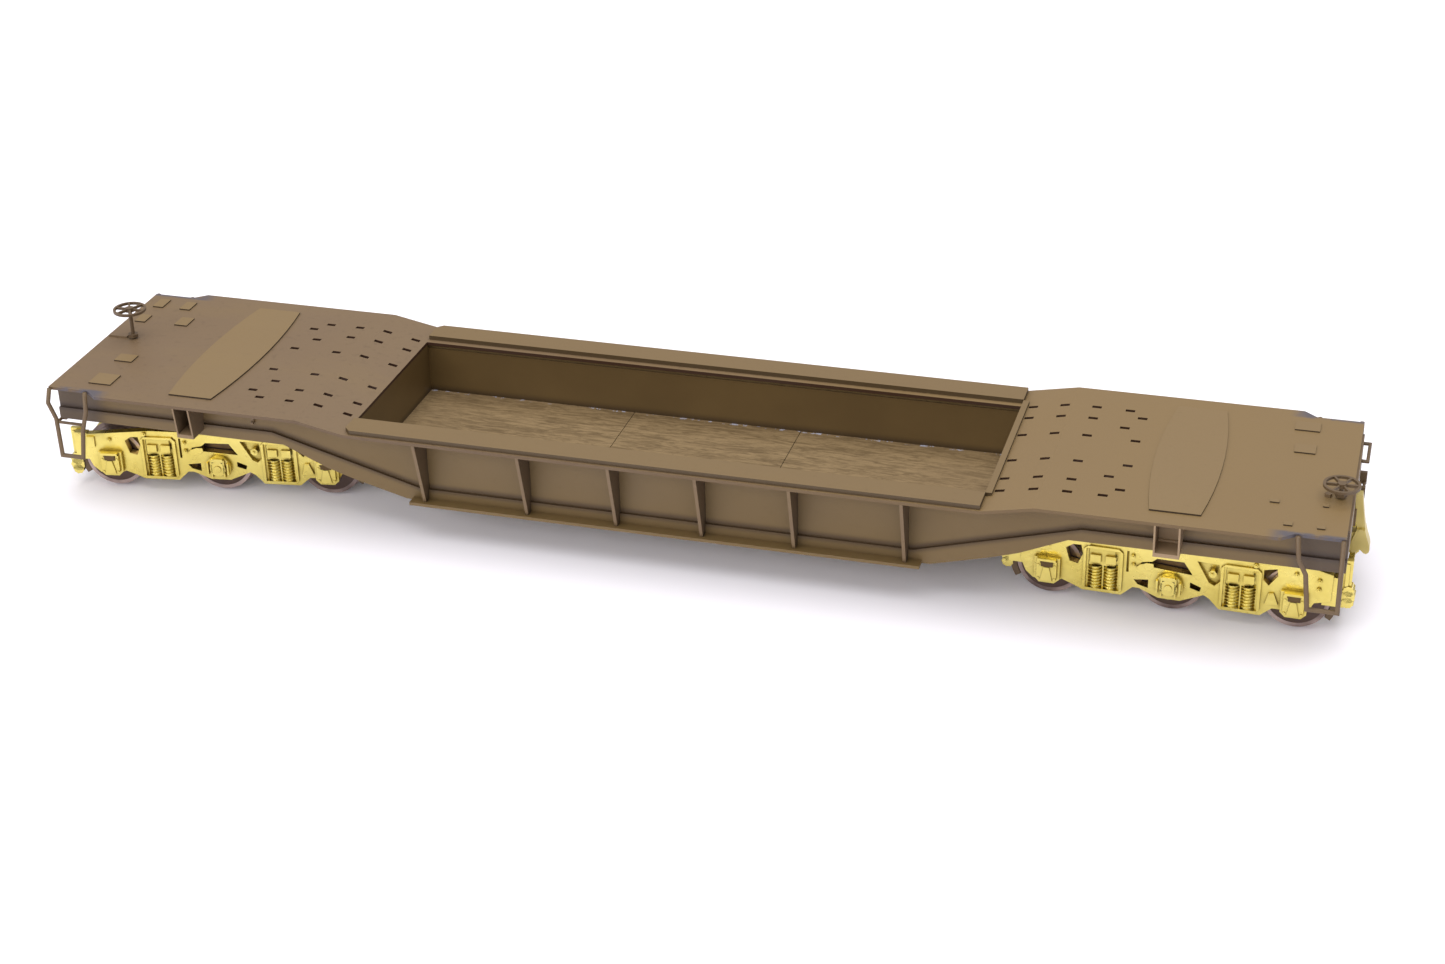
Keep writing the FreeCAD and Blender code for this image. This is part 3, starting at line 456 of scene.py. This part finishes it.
def angles(sides):
    # A full turn in equal steps.
    return [2 * math.pi * i / sides for i in range(sides)]


def loop_faces(rows, sides):
    # Faces between neighbouring rows of points, each row a closed loop of the same count.
    faces = []
    for row in range(rows):
        low = row * sides
        high = low + sides
        for i in range(sides):
            j = (i + 1) % sides
            faces.append((low + i, low + j, high + j, high + i))
    return faces


class Shape:
    """Boxes, prisms and rods in millimetres, collected into one mesh."""

    def __init__(self):
        self.points = []
        self.faces = []

    def add(self, points, faces):
        start = len(self.points)
        self.points.extend(points)
        self.faces.extend([tuple(start + k for k in face) for face in faces])

    def prism(self, corners, along):
        # A flat outline of corners, and the same outline moved along, closed by side faces.
        count = len(corners)
        far = [tuple(c + a for c, a in zip(corner, along)) for corner in corners]
        faces = [tuple(range(count)), tuple(reversed(range(count, 2 * count)))]
        for i in range(count):
            j = (i + 1) % count
            faces.append((i, i + count, j + count, j))
        self.add(list(corners) + far, faces)

    def plate_y(self, corners, y0, y1):
        # A flat plate from corners given as X and Z.
        self.prism([(x, y0, z) for x, z in corners], (0, y1 - y0, 0))

    def box(self, x0, x1, y0, y1, z0, z1):
        self.plate_y([(x0, z0), (x1, z0), (x1, z1), (x0, z1)], y0, y1)

    def rod_y(self, x, z, y0, y1, radius, sides=20, lobes=0.0):
        # Round about Y; with lobes its radius swells on every other corner.
        corners = []
        for i, angle in enumerate(angles(sides)):
            reach = radius + (lobes if i % 2 else 0.0)
            corners.append((x + reach * math.cos(angle), z + reach * math.sin(angle)))
        self.plate_y(corners, y0, y1)

    def ring_y(self, x, z, y0, y1, inner, outer, sides=56):
        # A ring about Y with a square section.
        points = []
        for angle in angles(sides):
            for y, radius in ((y0, inner), (y0, outer), (y1, outer), (y1, inner)):
                points.append((x + radius * math.cos(angle), y, z + radius * math.sin(angle)))
        faces = []
        for i in range(sides):
            j = (i + 1) % sides
            for k in range(4):
                m = (k + 1) % 4
                faces.append((4 * i + k, 4 * i + m, 4 * j + m, 4 * j + k))
        self.add(points, faces)

    def wire(self, path, radius, sides=12):
        # A round wire swept along straight lengths in a plane of constant Y, mitred at each bend.
        spots = [Vector(p) for p in path]
        plane = Vector((0, 1, 0))
        points = []
        for k, spot in enumerate(spots):
            before = (spot - spots[max(k - 1, 0)]).normalized()
            after = (spots[min(k + 1, len(spots) - 1)] - spot).normalized()
            along = (before + after).normalized()
            single = after if k == 0 else before
            stretch = 1.0 / max(along.dot(single), 0.5)
            across = along.cross(plane)
            for angle in angles(sides):
                offset = radius * stretch * math.cos(angle) * across
                points.append(tuple(spot + (offset + radius * math.sin(angle) * plane)))
        last = (len(spots) - 1) * sides
        ends = [tuple(reversed(range(sides))), tuple(range(last, last + sides))]
        self.add(points, ends + loop_faces(len(spots) - 1, sides))

    def turned(self, sx, sy):
        # The points with X and Y multiplied by the signs, and the faces wound to match.
        points = [(sx * x, sy * y, z) for x, y, z in self.points]
        faces = self.faces if sx * sy > 0 else [tuple(reversed(face)) for face in self.faces]
        return points, faces

    def flip(self, sx, sy):
        self.points, self.faces = self.turned(sx, sy)

    def copy(self, sx, sy):
        # Keeps the shape and adds a turned copy of it.
        self.add(*self.turned(sx, sy))

    def build(self, name, material, turn=Matrix(), smooth=False):
        mesh = bpy.data.meshes.new(name)
        mesh.from_pydata([tuple(turn @ (Vector(p) * MM)) for p in self.points], [], self.faces)
        mesh.materials.append(material)
        for polygon in mesh.polygons:
            polygon.use_smooth = smooth
        obj = bpy.data.objects.new(name, mesh)
        bpy.context.scene.collection.objects.link(obj)
        return obj


# ---------------------------------------------------------------- trucks
#
# A truck is drawn about its kingpin, in millimetres: X along the car, near side at -Y, Z from the floor.

# The kingpin's X on the car, and the degrees that the truck stands turned at rest.
KINGPINS = {"a": (-75.9, 8.8), "b": (74.6, -2.1)}
AXLE_SPACING = 17.5
AXLE_HEIGHT = 5.3
FRAME_FACE = -10.9


def truck_turn(tag):
    kingpin_x, swivel = KINGPINS[tag]
    place = Matrix.Translation(Vector((kingpin_x, 0, 0)) * MM)
    return place @ Matrix.Rotation(math.radians(swivel), 4, "Z")


def add_to_truck(shape, name, tag, material, replaces=None, smooth=False):
    obj = shape.build(name + "_" + tag, material, truck_turn(tag), smooth)
    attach(obj, "truck_" + tag)
    if replaces:
        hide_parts(replaces + "_" + tag)


# Spring nests: the X of their middles, the Y of their walls, and their posts and coils.
NESTS = (-9.55, 9.95)
NEST_HALF_WIDTH = 2.45
NEST_TOP = 9.55
NEST_BACK = -9.75
NEST_FACE = -10.4
NEST_FRONT = -10.75
NEST_WALL_OFFSET = 2.3
NEST_WALL_HALF = 0.15
NEST_WALL_BACK = -10.05
NEST_POST_HALF = 0.1

SPRING_OFFSET = 1.09
SPRING_LOW = 3.1
SPRING_HIGH = 6.7
SPRING_AXIS = -10.25
COIL_RADIUS = 0.93
COIL_SWELL = 0.15


def coil(shape, center_x, sides=28, turns=7, steps=8):
    # A cast coil: a post whose radius swells along one winding thread.
    points = []
    rows = turns * steps
    for row in range(rows + 1):
        z = SPRING_LOW + (SPRING_HIGH - SPRING_LOW) * row / rows
        for angle in angles(sides):
            radius = COIL_RADIUS + COIL_SWELL * math.cos(2 * math.pi * row / steps - angle)
            x = center_x + radius * math.cos(angle)
            points.append((x, SPRING_AXIS + radius * math.sin(angle), z))
    shape.add(points, loop_faces(rows, sides))


def springs():
    # Two coils in each nest, on both sides of the truck.
    shape = Shape()
    for x in NESTS:
        coil(shape, x - SPRING_OFFSET)
        coil(shape, x + SPRING_OFFSET)
    shape.copy(-1, -1)
    return shape


def nest_backs():
    # The cast back of each spring nest, its side walls, and the narrow post between its two coils.
    shape = Shape()
    for x in NESTS:
        shape.box(x - NEST_HALF_WIDTH, x + NEST_HALF_WIDTH, NEST_FACE, NEST_BACK, SPRING_LOW, NEST_TOP)
        shape.box(x - NEST_POST_HALF, x + NEST_POST_HALF, NEST_FRONT, NEST_FACE, SPRING_LOW, SPRING_HIGH)
        for wall in (x - NEST_WALL_OFFSET, x + NEST_WALL_OFFSET):
            shape.box(wall - NEST_WALL_HALF, wall + NEST_WALL_HALF, NEST_FRONT, NEST_WALL_BACK,
                      SPRING_LOW, NEST_TOP)
    shape.copy(-1, -1)
    return shape


# Outer journal boxes: a flange over a lid, given as X from the box's middle and Z, and bolts.
BOX_FACE = -11.5
FLANGE_HALF = 1.35
FLANGE_FRONT = -12.2
FLANGE_LOW = 6.9
FLANGE_HIGH = 7.25
LID = ((-0.85, 3.7), (0.85, 3.7), (0.75, 4.3), (0.4, 5.9), (-0.4, 5.9), (-0.75, 4.3))
LID_FRONT = -12.15
LID_BACK = -11.85
BOX_BOLT_OFFSET = 1.2
BOX_BOLT_HEIGHTS = (3.95, 6.1)
BOX_BOLT_FRONT = -12.05
BOX_BOLT_BACK = -11.55
BOX_BOLT_RADIUS = 0.2


def outer_journal(shape, x):
    # The flange above the box, its tapered lid and four bolts.
    shape.box(x - FLANGE_HALF, x + FLANGE_HALF, FLANGE_FRONT, BOX_FACE, FLANGE_LOW, FLANGE_HIGH)
    shape.plate_y([(x + dx, z) for dx, z in LID], LID_FRONT, LID_BACK)
    for side in (-BOX_BOLT_OFFSET, BOX_BOLT_OFFSET):
        for z in BOX_BOLT_HEIGHTS:
            shape.rod_y(x + side, z, BOX_BOLT_FRONT, BOX_BOLT_BACK, BOX_BOLT_RADIUS, 10)


# The middle journal's barrel: the X and the half height of each rib, a block and a boss.
BARREL_HEIGHT = 5.2
BARREL_RIBS = ((-1.62, 1.0), (-1.0, 1.55), (1.0, 1.55), (1.62, 1.0))
BARREL_RIB_HALF = 0.13
BARREL_RIB_FRONT = -11.95
BARREL_BLOCK_HALF = 0.9
BARREL_BLOCK_FRONT = -12.0
BARREL_BLOCK_LOW = 6.4
BARREL_BLOCK_HIGH = 6.95
BARREL_BOSS_FRONT = -12.1
BARREL_BOSS_RADIUS = 0.55


def middle_journal(shape):
    # Ribs down both sides of the barrel, a block above it and a boss at its centre.
    for x, half in BARREL_RIBS:
        shape.box(x - BARREL_RIB_HALF, x + BARREL_RIB_HALF, BARREL_RIB_FRONT, BOX_FACE,
                  BARREL_HEIGHT - half, BARREL_HEIGHT + half)
    shape.box(-BARREL_BLOCK_HALF, BARREL_BLOCK_HALF, BARREL_BLOCK_FRONT, BOX_FACE,
              BARREL_BLOCK_LOW, BARREL_BLOCK_HIGH)
    shape.rod_y(0.0, BARREL_HEIGHT, BARREL_BOSS_FRONT, BARREL_RIB_FRONT, BARREL_BOSS_RADIUS)


# The brake arm's outline as X and Z.
ARM = ((-4.75, 7.5), (-4.2, 7.0), (-2.9, 7.25), (-2.3, 7.8), (-2.4, 8.4), (-3.4, 8.35), (-4.3, 8.0))
ARM_FRONT = -11.15
ARM_BACK = -10.25


def journal_details():
    # The relief on the journals, and the brake arm beside the middle one.
    shape = Shape()
    outer_journal(shape, -AXLE_SPACING)
    outer_journal(shape, AXLE_SPACING)
    middle_journal(shape)
    shape.plate_y(ARM, ARM_FRONT, ARM_BACK)
    shape.copy(-1, -1)
    return shape


SHADE_LEFT = -0.8
SHADE_RIGHT = 0.9
SHADE_FRONT = -12.12
SHADE_BACK = -11.6
SHADE_LOW = 6.0


def journal_shades():
    # Painted shade: a dark plate in the hollow below the flange of each outer journal box.
    shape = Shape()
    for x in (-AXLE_SPACING, AXLE_SPACING):
        shape.box(x + SHADE_LEFT, x + SHADE_RIGHT, SHADE_FRONT, SHADE_BACK, SHADE_LOW, FLANGE_LOW)
    shape.copy(-1, -1)
    return shape


FRAME_BOLTS = ((-5.35, 9.1), (-5.2, 7.7), (20.7, 9.3), (20.7, 7.9), (17.5, 9.8), (-17.5, 9.1),
               (-11.7, 10.4), (11.9, 10.4), (5.9, 8.1))
NUT_DEPTH = 0.35
NUT_RADIUS = 0.33
STUD_DEPTH = 0.5
STUD_RADIUS = 0.18


def frame_bolts():
    # Round nuts with the ends of their studs, down both side frames.
    shape = Shape()
    for x, z in FRAME_BOLTS:
        shape.rod_y(x, z, FRAME_FACE - NUT_DEPTH, FRAME_FACE, NUT_RADIUS, 14)
        shape.rod_y(x, z, FRAME_FACE - STUD_DEPTH, FRAME_FACE - NUT_DEPTH, STUD_RADIUS, 10)
    shape.copy(-1, -1)
    return shape


# Brake straps with their lumpy heads (Z and radius of each lump), lugs and beams.
STRAP_FACE = -9.3
STRAP_BACK = STRAP_FACE + 0.7
STRIP_FACE = STRAP_FACE - 0.15
STRIP_LEFT = 0.3
STRIP_RIGHT = 0.8
STRIP_LOW_GAP = 1.5
STRIP_HIGH_GAP = 0.5
STRAP_LOW = 4.6
STRAP_HIGH = 10.1
STRAP_INNER_X = 22.5
STRAP_OUTER_X = 24.1
HEAD_X = 23.7
HEAD_LUMPS = ((4.5, 0.8), (5.5, 0.85), (6.4, 0.75))
LUMP_FRONT = STRAP_FACE - 0.25
LUMP_BACK = STRAP_FACE + 1.4
LUMP_SWELL = 0.1
LUG_INNER_X = 21.2
LUG_OUTER_X = 23.3
LUG_FRONT = -10.7
LUG_BACK = -9.5
LUG_LOW = 5.4
LUG_HIGH = 10.0
BEAM_X = 23.8
BEAM_HALF = 0.4
BEAM_HIGH = 5.4

# The near strap at each end of the car: its two sides, its bottom and top, and its head's X and lumps.
NEAR_STRAPS = {
    "a": ((-24.3, -22.4), (4.6, 10.1), -23.9, ((2.9, 0.8), (3.7, 1.05), (4.7, 0.95))),
    "b": ((23.7, 24.9), (6.6, 12.2), 24.6, ((5.6, 0.8), (6.5, 0.9), (7.4, 0.75))),
}


def strap(shape, x0, x1, low, high):
    # A hanging strap with a raised strip down its face.
    shape.box(x0, x1, STRAP_FACE, STRAP_BACK, low, high)
    shape.box(x0 + STRIP_LEFT, x0 + STRIP_RIGHT, STRIP_FACE, STRAP_FACE,
              low + STRIP_LOW_GAP, high - STRIP_HIGH_GAP)


def lumps(shape, x, heads):
    for z, radius in heads:
        shape.rod_y(x, z, LUMP_FRONT, LUMP_BACK, radius, 18, LUMP_SWELL)


def lug(shape, side):
    # Joins a strap to the side frame's end, outside the wheel.
    x0, x1 = sorted((side * LUG_INNER_X, side * LUG_OUTER_X))
    shape.box(x0, x1, LUG_FRONT, LUG_BACK, LUG_LOW, LUG_HIGH)
    x0, x1 = sorted((side * STRAP_INNER_X, side * LUG_OUTER_X))
    shape.box(x0, x1, LUG_BACK, STRAP_BACK, LUG_LOW, LUG_HIGH)


def hidden_strap(shape, side):
    x0, x1 = sorted((side * STRAP_INNER_X, side * STRAP_OUTER_X))
    strap(shape, x0, x1, STRAP_LOW, STRAP_HIGH)
    lug(shape, side)
    lumps(shape, side * HEAD_X, HEAD_LUMPS)


def brake_gear(tag):
    # A strap with a lumpy lower head at each corner of a truck, and a beam across each end.
    outward = -1 if tag == "a" else 1
    shape = Shape()
    hidden_strap(shape, outward)
    hidden_strap(shape, -outward)
    # Those two go over to the far side, and the near two follow.
    shape.flip(1, -1)
    hidden_strap(shape, -outward)
    lug(shape, outward)
    (x0, x1), (low, high), head_x, heads = NEAR_STRAPS[tag]
    strap(shape, x0, x1, low, high)
    lumps(shape, head_x, heads)
    for x in (-BEAM_X, BEAM_X):
        shape.box(x - BEAM_HALF, x + BEAM_HALF, STRAP_FACE, -STRAP_FACE, STRAP_LOW, BEAM_HIGH)
    return shape


# Brake shoes: radii about the axle, and angles in degrees.
SHOE_INNER = 4.95
SHOE_OUTER = 5.85
SHOE_START = -32.0
SHOE_SWEEP = 56.0
SHOE_WIDTH = 1.2


def shoe_arc(radius, steps=12):
    # One face of a shoe as X and Z, about the end axle.
    points = []
    for i in range(steps + 1):
        angle = math.radians(SHOE_START + SHOE_SWEEP * i / steps)
        points.append((AXLE_SPACING + radius * math.cos(angle), AXLE_HEIGHT + radius * math.sin(angle)))
    return points


def brake_shoes():
    # Curved blocks just clear of the end wheels' treads.
    shape = Shape()
    corners = shoe_arc(SHOE_OUTER) + list(reversed(shoe_arc(SHOE_INNER)))
    shape.plate_y(corners, STRAP_FACE, STRAP_FACE + SHOE_WIDTH)
    shape.copy(1, -1)
    shape.copy(-1, 1)
    return shape


RIM_BACK = 9.38
RIM_FRONT = 9.44
RIM_INNER = 4.2
RIM_OUTER = 4.78


def rim(x):
    # A thin bright ring on the outer face of both wheels of an axle.
    shape = Shape()
    for side in (-1, 1):
        shape.ring_y(x, AXLE_HEIGHT, side * RIM_BACK, side * RIM_FRONT, RIM_INNER, RIM_OUTER)
    return shape


for truck in ("a", "b"):
    add_to_truck(springs(), "coil_springs", truck, nest_brass, replaces="truck_springs", smooth=True)
    add_to_truck(nest_backs(), "nest_backs", truck, nest_brass)
    add_to_truck(journal_details(), "journal_details", truck, brass)
    add_to_truck(journal_shades(), "journal_shades", truck, shade_brass)
    add_to_truck(frame_bolts(), "frame_bolts", truck, brass)
    add_to_truck(brake_gear(truck), "brake_gear", truck, brass, replaces="brake_rigging")
    add_to_truck(brake_shoes(), "brake_shoes", truck, dark_paint)

for truck in ("a", "b"):
    for number, x in enumerate((-AXLE_SPACING, 0.0, AXLE_SPACING), 1):
        label = truck + str(number)
        obj = rim(x).build("wheel_rims_" + label, rim_metal, truck_turn(truck))
        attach(obj, "wheelset_" + label + "_body")


# ---------------------------------------------------------------- step irons

DECK_HALF_LENGTH = 98.0
DECK_TOP = 19.78
STEP_Y = -18.2
STEP_WIRE_RADIUS = 0.34

# Each bend of a step iron's wire: its distance from the deck's end, and its drop below the deck's top.
STEP_PATH_A = ((6.4, 0.2), (6.1, 3.5), (5.1, 6.9), (4.4, 11.7), (0.8, 11.7), (0.7, 5.3),
               (-0.3, 2.7), (0.3, 0.2))
STEP_PATH_B = ((6.4, 0.2), (6.0, 3.8), (4.9, 6.0), (4.3, 11.4), (0.2, 11.4), (0.3, 0.2))


def step_irons():
    shape = Shape()
    for end, path in ((-1, STEP_PATH_A), (1, STEP_PATH_B)):
        bends = [(end * (DECK_HALF_LENGTH - inset), STEP_Y, DECK_TOP - drop) for inset, drop in path]
        shape.wire(bends, STEP_WIRE_RADIUS)
    shape.copy(1, -1)
    return shape


irons = step_irons().build("round_step_irons", step_paint, smooth=True)
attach(irons, "car_body")
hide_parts("step_irons")


# ---------------------------------------------------------------- couplers

# Outlines of end B's coupler as X and Z: a stem and, below it, a head that spreads like a fish's tail.
STEM = ((98.90, 12.3), (100.05, 12.3), (99.7, 14.2), (99.2, 17.6), (98.25, 17.6), (98.45, 14.2))
STEM_HALF_WIDTH = 0.75
TAIL = ((100.05, 12.3), (100.35, 11.2), (100.8, 9.9), (100.92, 9.2), (100.82, 8.75), (100.5, 8.5),
        (100.1, 8.6), (99.78, 8.95), (99.55, 9.1), (99.32, 8.95), (99.0, 8.6), (98.6, 8.5),
        (98.25, 8.75), (98.12, 9.2), (98.22, 9.9), (98.55, 11.2), (98.90, 12.3))
TAIL_HALF_WIDTH = 1.15
SHANK_START = 92.6
SHANK_END = 99.4
SHANK_HALF_WIDTH = 0.8
SHANK_LOW = 9.7
SHANK_HIGH = 11.6
NECK_X = 99.5
NECK_Z = 11.9
NECK_HALF_WIDTH = 1.25
NECK_RADIUS = 0.5


def coupler_shape(side):
    # Head, stem, shank and neck, turned half round for end A.
    shape = Shape()
    shape.plate_y(TAIL, -TAIL_HALF_WIDTH, TAIL_HALF_WIDTH)
    shape.plate_y(STEM, -STEM_HALF_WIDTH, STEM_HALF_WIDTH)
    shape.box(SHANK_START, SHANK_END, -SHANK_HALF_WIDTH, SHANK_HALF_WIDTH, SHANK_LOW, SHANK_HIGH)
    shape.rod_y(NECK_X, NECK_Z, -NECK_HALF_WIDTH, NECK_HALF_WIDTH, NECK_RADIUS, 16)
    shape.flip(side, side)
    return shape


for tag, side in (("a", -1), ("b", 1)):
    coupler = coupler_shape(side).build("coupler_casting_" + tag, coupler_brass)
    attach(coupler, "coupler_" + tag + "_body")
    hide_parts("coupler_" + tag)


# ---------------------------------------------------------------- gussets and hook

WEB_FACE = -15.0
ANGLE_FACE = -15.4
ANGLE_TOP = 15.0
DECK_UNDERSIDE = 19.28
GUSSET_PLACES = ((-76.1, -73.6), (72.5, 75.9))
GUSSET_THICKNESS = 0.26
GUSSET_TOP_Y = -19.46
GUSSET_FOOT_Y = -18.86
JACKING_PLATE_TOP = 14.7
JACKING_PLATE_LOW = 14.1

HOOK_X = (-65.25, -64.85)
HOOK_FACE = -15.35
HOOK_TIP = -15.65
HOOK_LOW = 16.1
HOOK_TOE_TOP = 16.45
HOOK_TOP = 17.6


def gussets():
    # Thin plates from the deck's edge down to the jacking plates.
    corners = ((WEB_FACE, DECK_UNDERSIDE), (GUSSET_TOP_Y, DECK_UNDERSIDE),
               (GUSSET_FOOT_Y, JACKING_PLATE_TOP), (ANGLE_FACE, JACKING_PLATE_TOP),
               (ANGLE_FACE, ANGLE_TOP), (WEB_FACE, ANGLE_TOP))
    half = GUSSET_THICKNESS / 2
    shape = Shape()
    for pair in GUSSET_PLACES:
        for x in pair:
            shape.prism([(x - half, y, z) for y, z in corners], (GUSSET_THICKNESS, 0, 0))
        shape.box(pair[0] - half, pair[1] + half, GUSSET_FOOT_Y, ANGLE_FACE,
                  JACKING_PLATE_LOW, JACKING_PLATE_TOP)
    shape.copy(1, -1)
    return shape


def web_hooks():
    # A small hook on the near web by end A.
    shape = Shape()
    shape.box(*HOOK_X, HOOK_FACE, WEB_FACE, HOOK_LOW, HOOK_TOP)
    shape.box(*HOOK_X, HOOK_TIP, HOOK_FACE, HOOK_LOW, HOOK_TOE_TOP)
    return shape


hooks = web_hooks().build("web_hooks", plain_paint)
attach(hooks, "car_body")

gusset_plates = gussets().build("gusset_plates", gusset_paint)
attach(gusset_plates, "car_body")
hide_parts("bolster_gussets")


# ---------------------------------------------------------------- camera

AZIMUTH = math.radians(16.94)
ELEVATION = math.radians(28.43)
ROLL = math.radians(-1.42)
CAMERA_PLACE = (103.8, -324.5, 190.7)
SENSOR_WIDTH = 36.0
LENS = 63.1
NEAR_CLIP = 0.01
FAR_CLIP = 20.0


def camera_turn():
    level = math.cos(ELEVATION)
    look = Vector((-math.sin(AZIMUTH) * level, math.cos(AZIMUTH) * level, -math.sin(ELEVATION)))
    right = Vector((math.cos(AZIMUTH), math.sin(AZIMUTH), 0.0))
    up = right.cross(look)
    side = math.cos(ROLL) * right + math.sin(ROLL) * up
    top = -math.sin(ROLL) * right + math.cos(ROLL) * up
    return Matrix((side, top, -look)).transposed().to_4x4()


def add_camera():
    data = bpy.data.cameras.new("camera")
    data.sensor_width = SENSOR_WIDTH
    data.lens = LENS
    data.clip_start = NEAR_CLIP
    data.clip_end = FAR_CLIP
    camera = bpy.data.objects.new("camera", data)
    bpy.context.scene.collection.objects.link(camera)
    camera.matrix_world = Matrix.Translation(Vector(CAMERA_PLACE) * MM) @ camera_turn()
    bpy.context.scene.camera = camera


# ---------------------------------------------------------------- stage and light

FLOOR_HALF = 3.0
FLOOR_COLOR = (0.925, 0.905, 0.95, 1)
GLOW_COLOR = (1.0, 0.98, 1.0, 1.0)

# The floor's glow rises over this distance from the middle of the car, in metres, by this much.
GLOW_REACH = (0.24, 0.75)
GLOW_STRENGTH = (0.05, 0.75)

WORLD_COLOR = (0.97, 0.95, 1.0, 1.0)
WORLD_LIGHT = 0.5
WORLD_SEEN = 1.1

# Each lamp's name, place and size in metres, and power in watts.
SOFTBOXES = (
    ("top_softbox", (0.05, 0.0, 0.9), (1.3, 0.9), 9.9),
    ("front_softbox", (-0.35, -0.85, 0.5), (1.3, 0.4), 5.0),
    ("left_softbox", (-0.9, -0.35, 0.5), (0.6, 0.6), 0.6),
)


def floor_white():
    # White, with a glow that only the camera sees, so that the ground fades to white away from the car.
    n = Nodes("floor_white")
    n.surface(FLOOR_COLOR, 0.6, specular=0.2)
    distance = n.new("ShaderNodeVectorMath", operation="LENGTH")
    n.put(n.place(), distance.inputs[0])
    lift = n.ramp(distance.outputs["Value"], *GLOW_REACH, *GLOW_STRENGTH)
    seen = n.new("ShaderNodeLightPath").outputs["Is Camera Ray"]
    glow = n.new("ShaderNodeEmission")
    n.fill(glow, {"Color": GLOW_COLOR, "Strength": n.times(seen, lift)})
    both = n.new("ShaderNodeAddShader")
    n.put(n.bsdf.outputs[0], both.inputs[0])
    n.put(glow.outputs[0], both.inputs[1])
    n.put(both.outputs[0], n.out.inputs["Surface"])
    return n.mat


def add_floor():
    mesh = bpy.data.meshes.new("floor")
    r = FLOOR_HALF
    mesh.from_pydata([(-r, -r, 0), (r, -r, 0), (r, r, 0), (-r, r, 0)], [], [(0, 1, 2, 3)])
    mesh.materials.append(floor_white())
    floor = bpy.data.objects.new("floor", mesh)
    bpy.context.scene.collection.objects.link(floor)


def add_softbox(name, place, size, power):
    # A lamp that faces the middle of the car.
    data = bpy.data.lights.new(name, "AREA")
    data.shape = "RECTANGLE"
    data.size, data.size_y = size
    data.energy = power
    lamp = bpy.data.objects.new(name, data)
    lamp.location = place
    aim = Vector((0, 0, 0)) - Vector(place)
    lamp.rotation_euler = aim.to_track_quat("-Z", "Y").to_euler()
    bpy.context.scene.collection.objects.link(lamp)


def add_world():
    # Dimmer as a light than it looks to the camera.
    world = bpy.data.worlds.new("studio")
    world.use_nodes = True
    nodes = world.node_tree.nodes
    links = world.node_tree.links
    background = nodes["Background"]
    background.inputs["Color"].default_value = WORLD_COLOR
    light_path = nodes.new("ShaderNodeLightPath")
    strength = nodes.new("ShaderNodeMapRange")
    strength.inputs["To Min"].default_value = WORLD_LIGHT
    strength.inputs["To Max"].default_value = WORLD_SEEN
    links.new(light_path.outputs["Is Camera Ray"], strength.inputs["Value"])
    links.new(strength.outputs["Result"], background.inputs["Strength"])
    bpy.context.scene.world = world


add_camera()
add_floor()
for softbox in SOFTBOXES:
    add_softbox(*softbox)
add_world()
bpy.context.scene.view_settings.view_transform = "Standard"
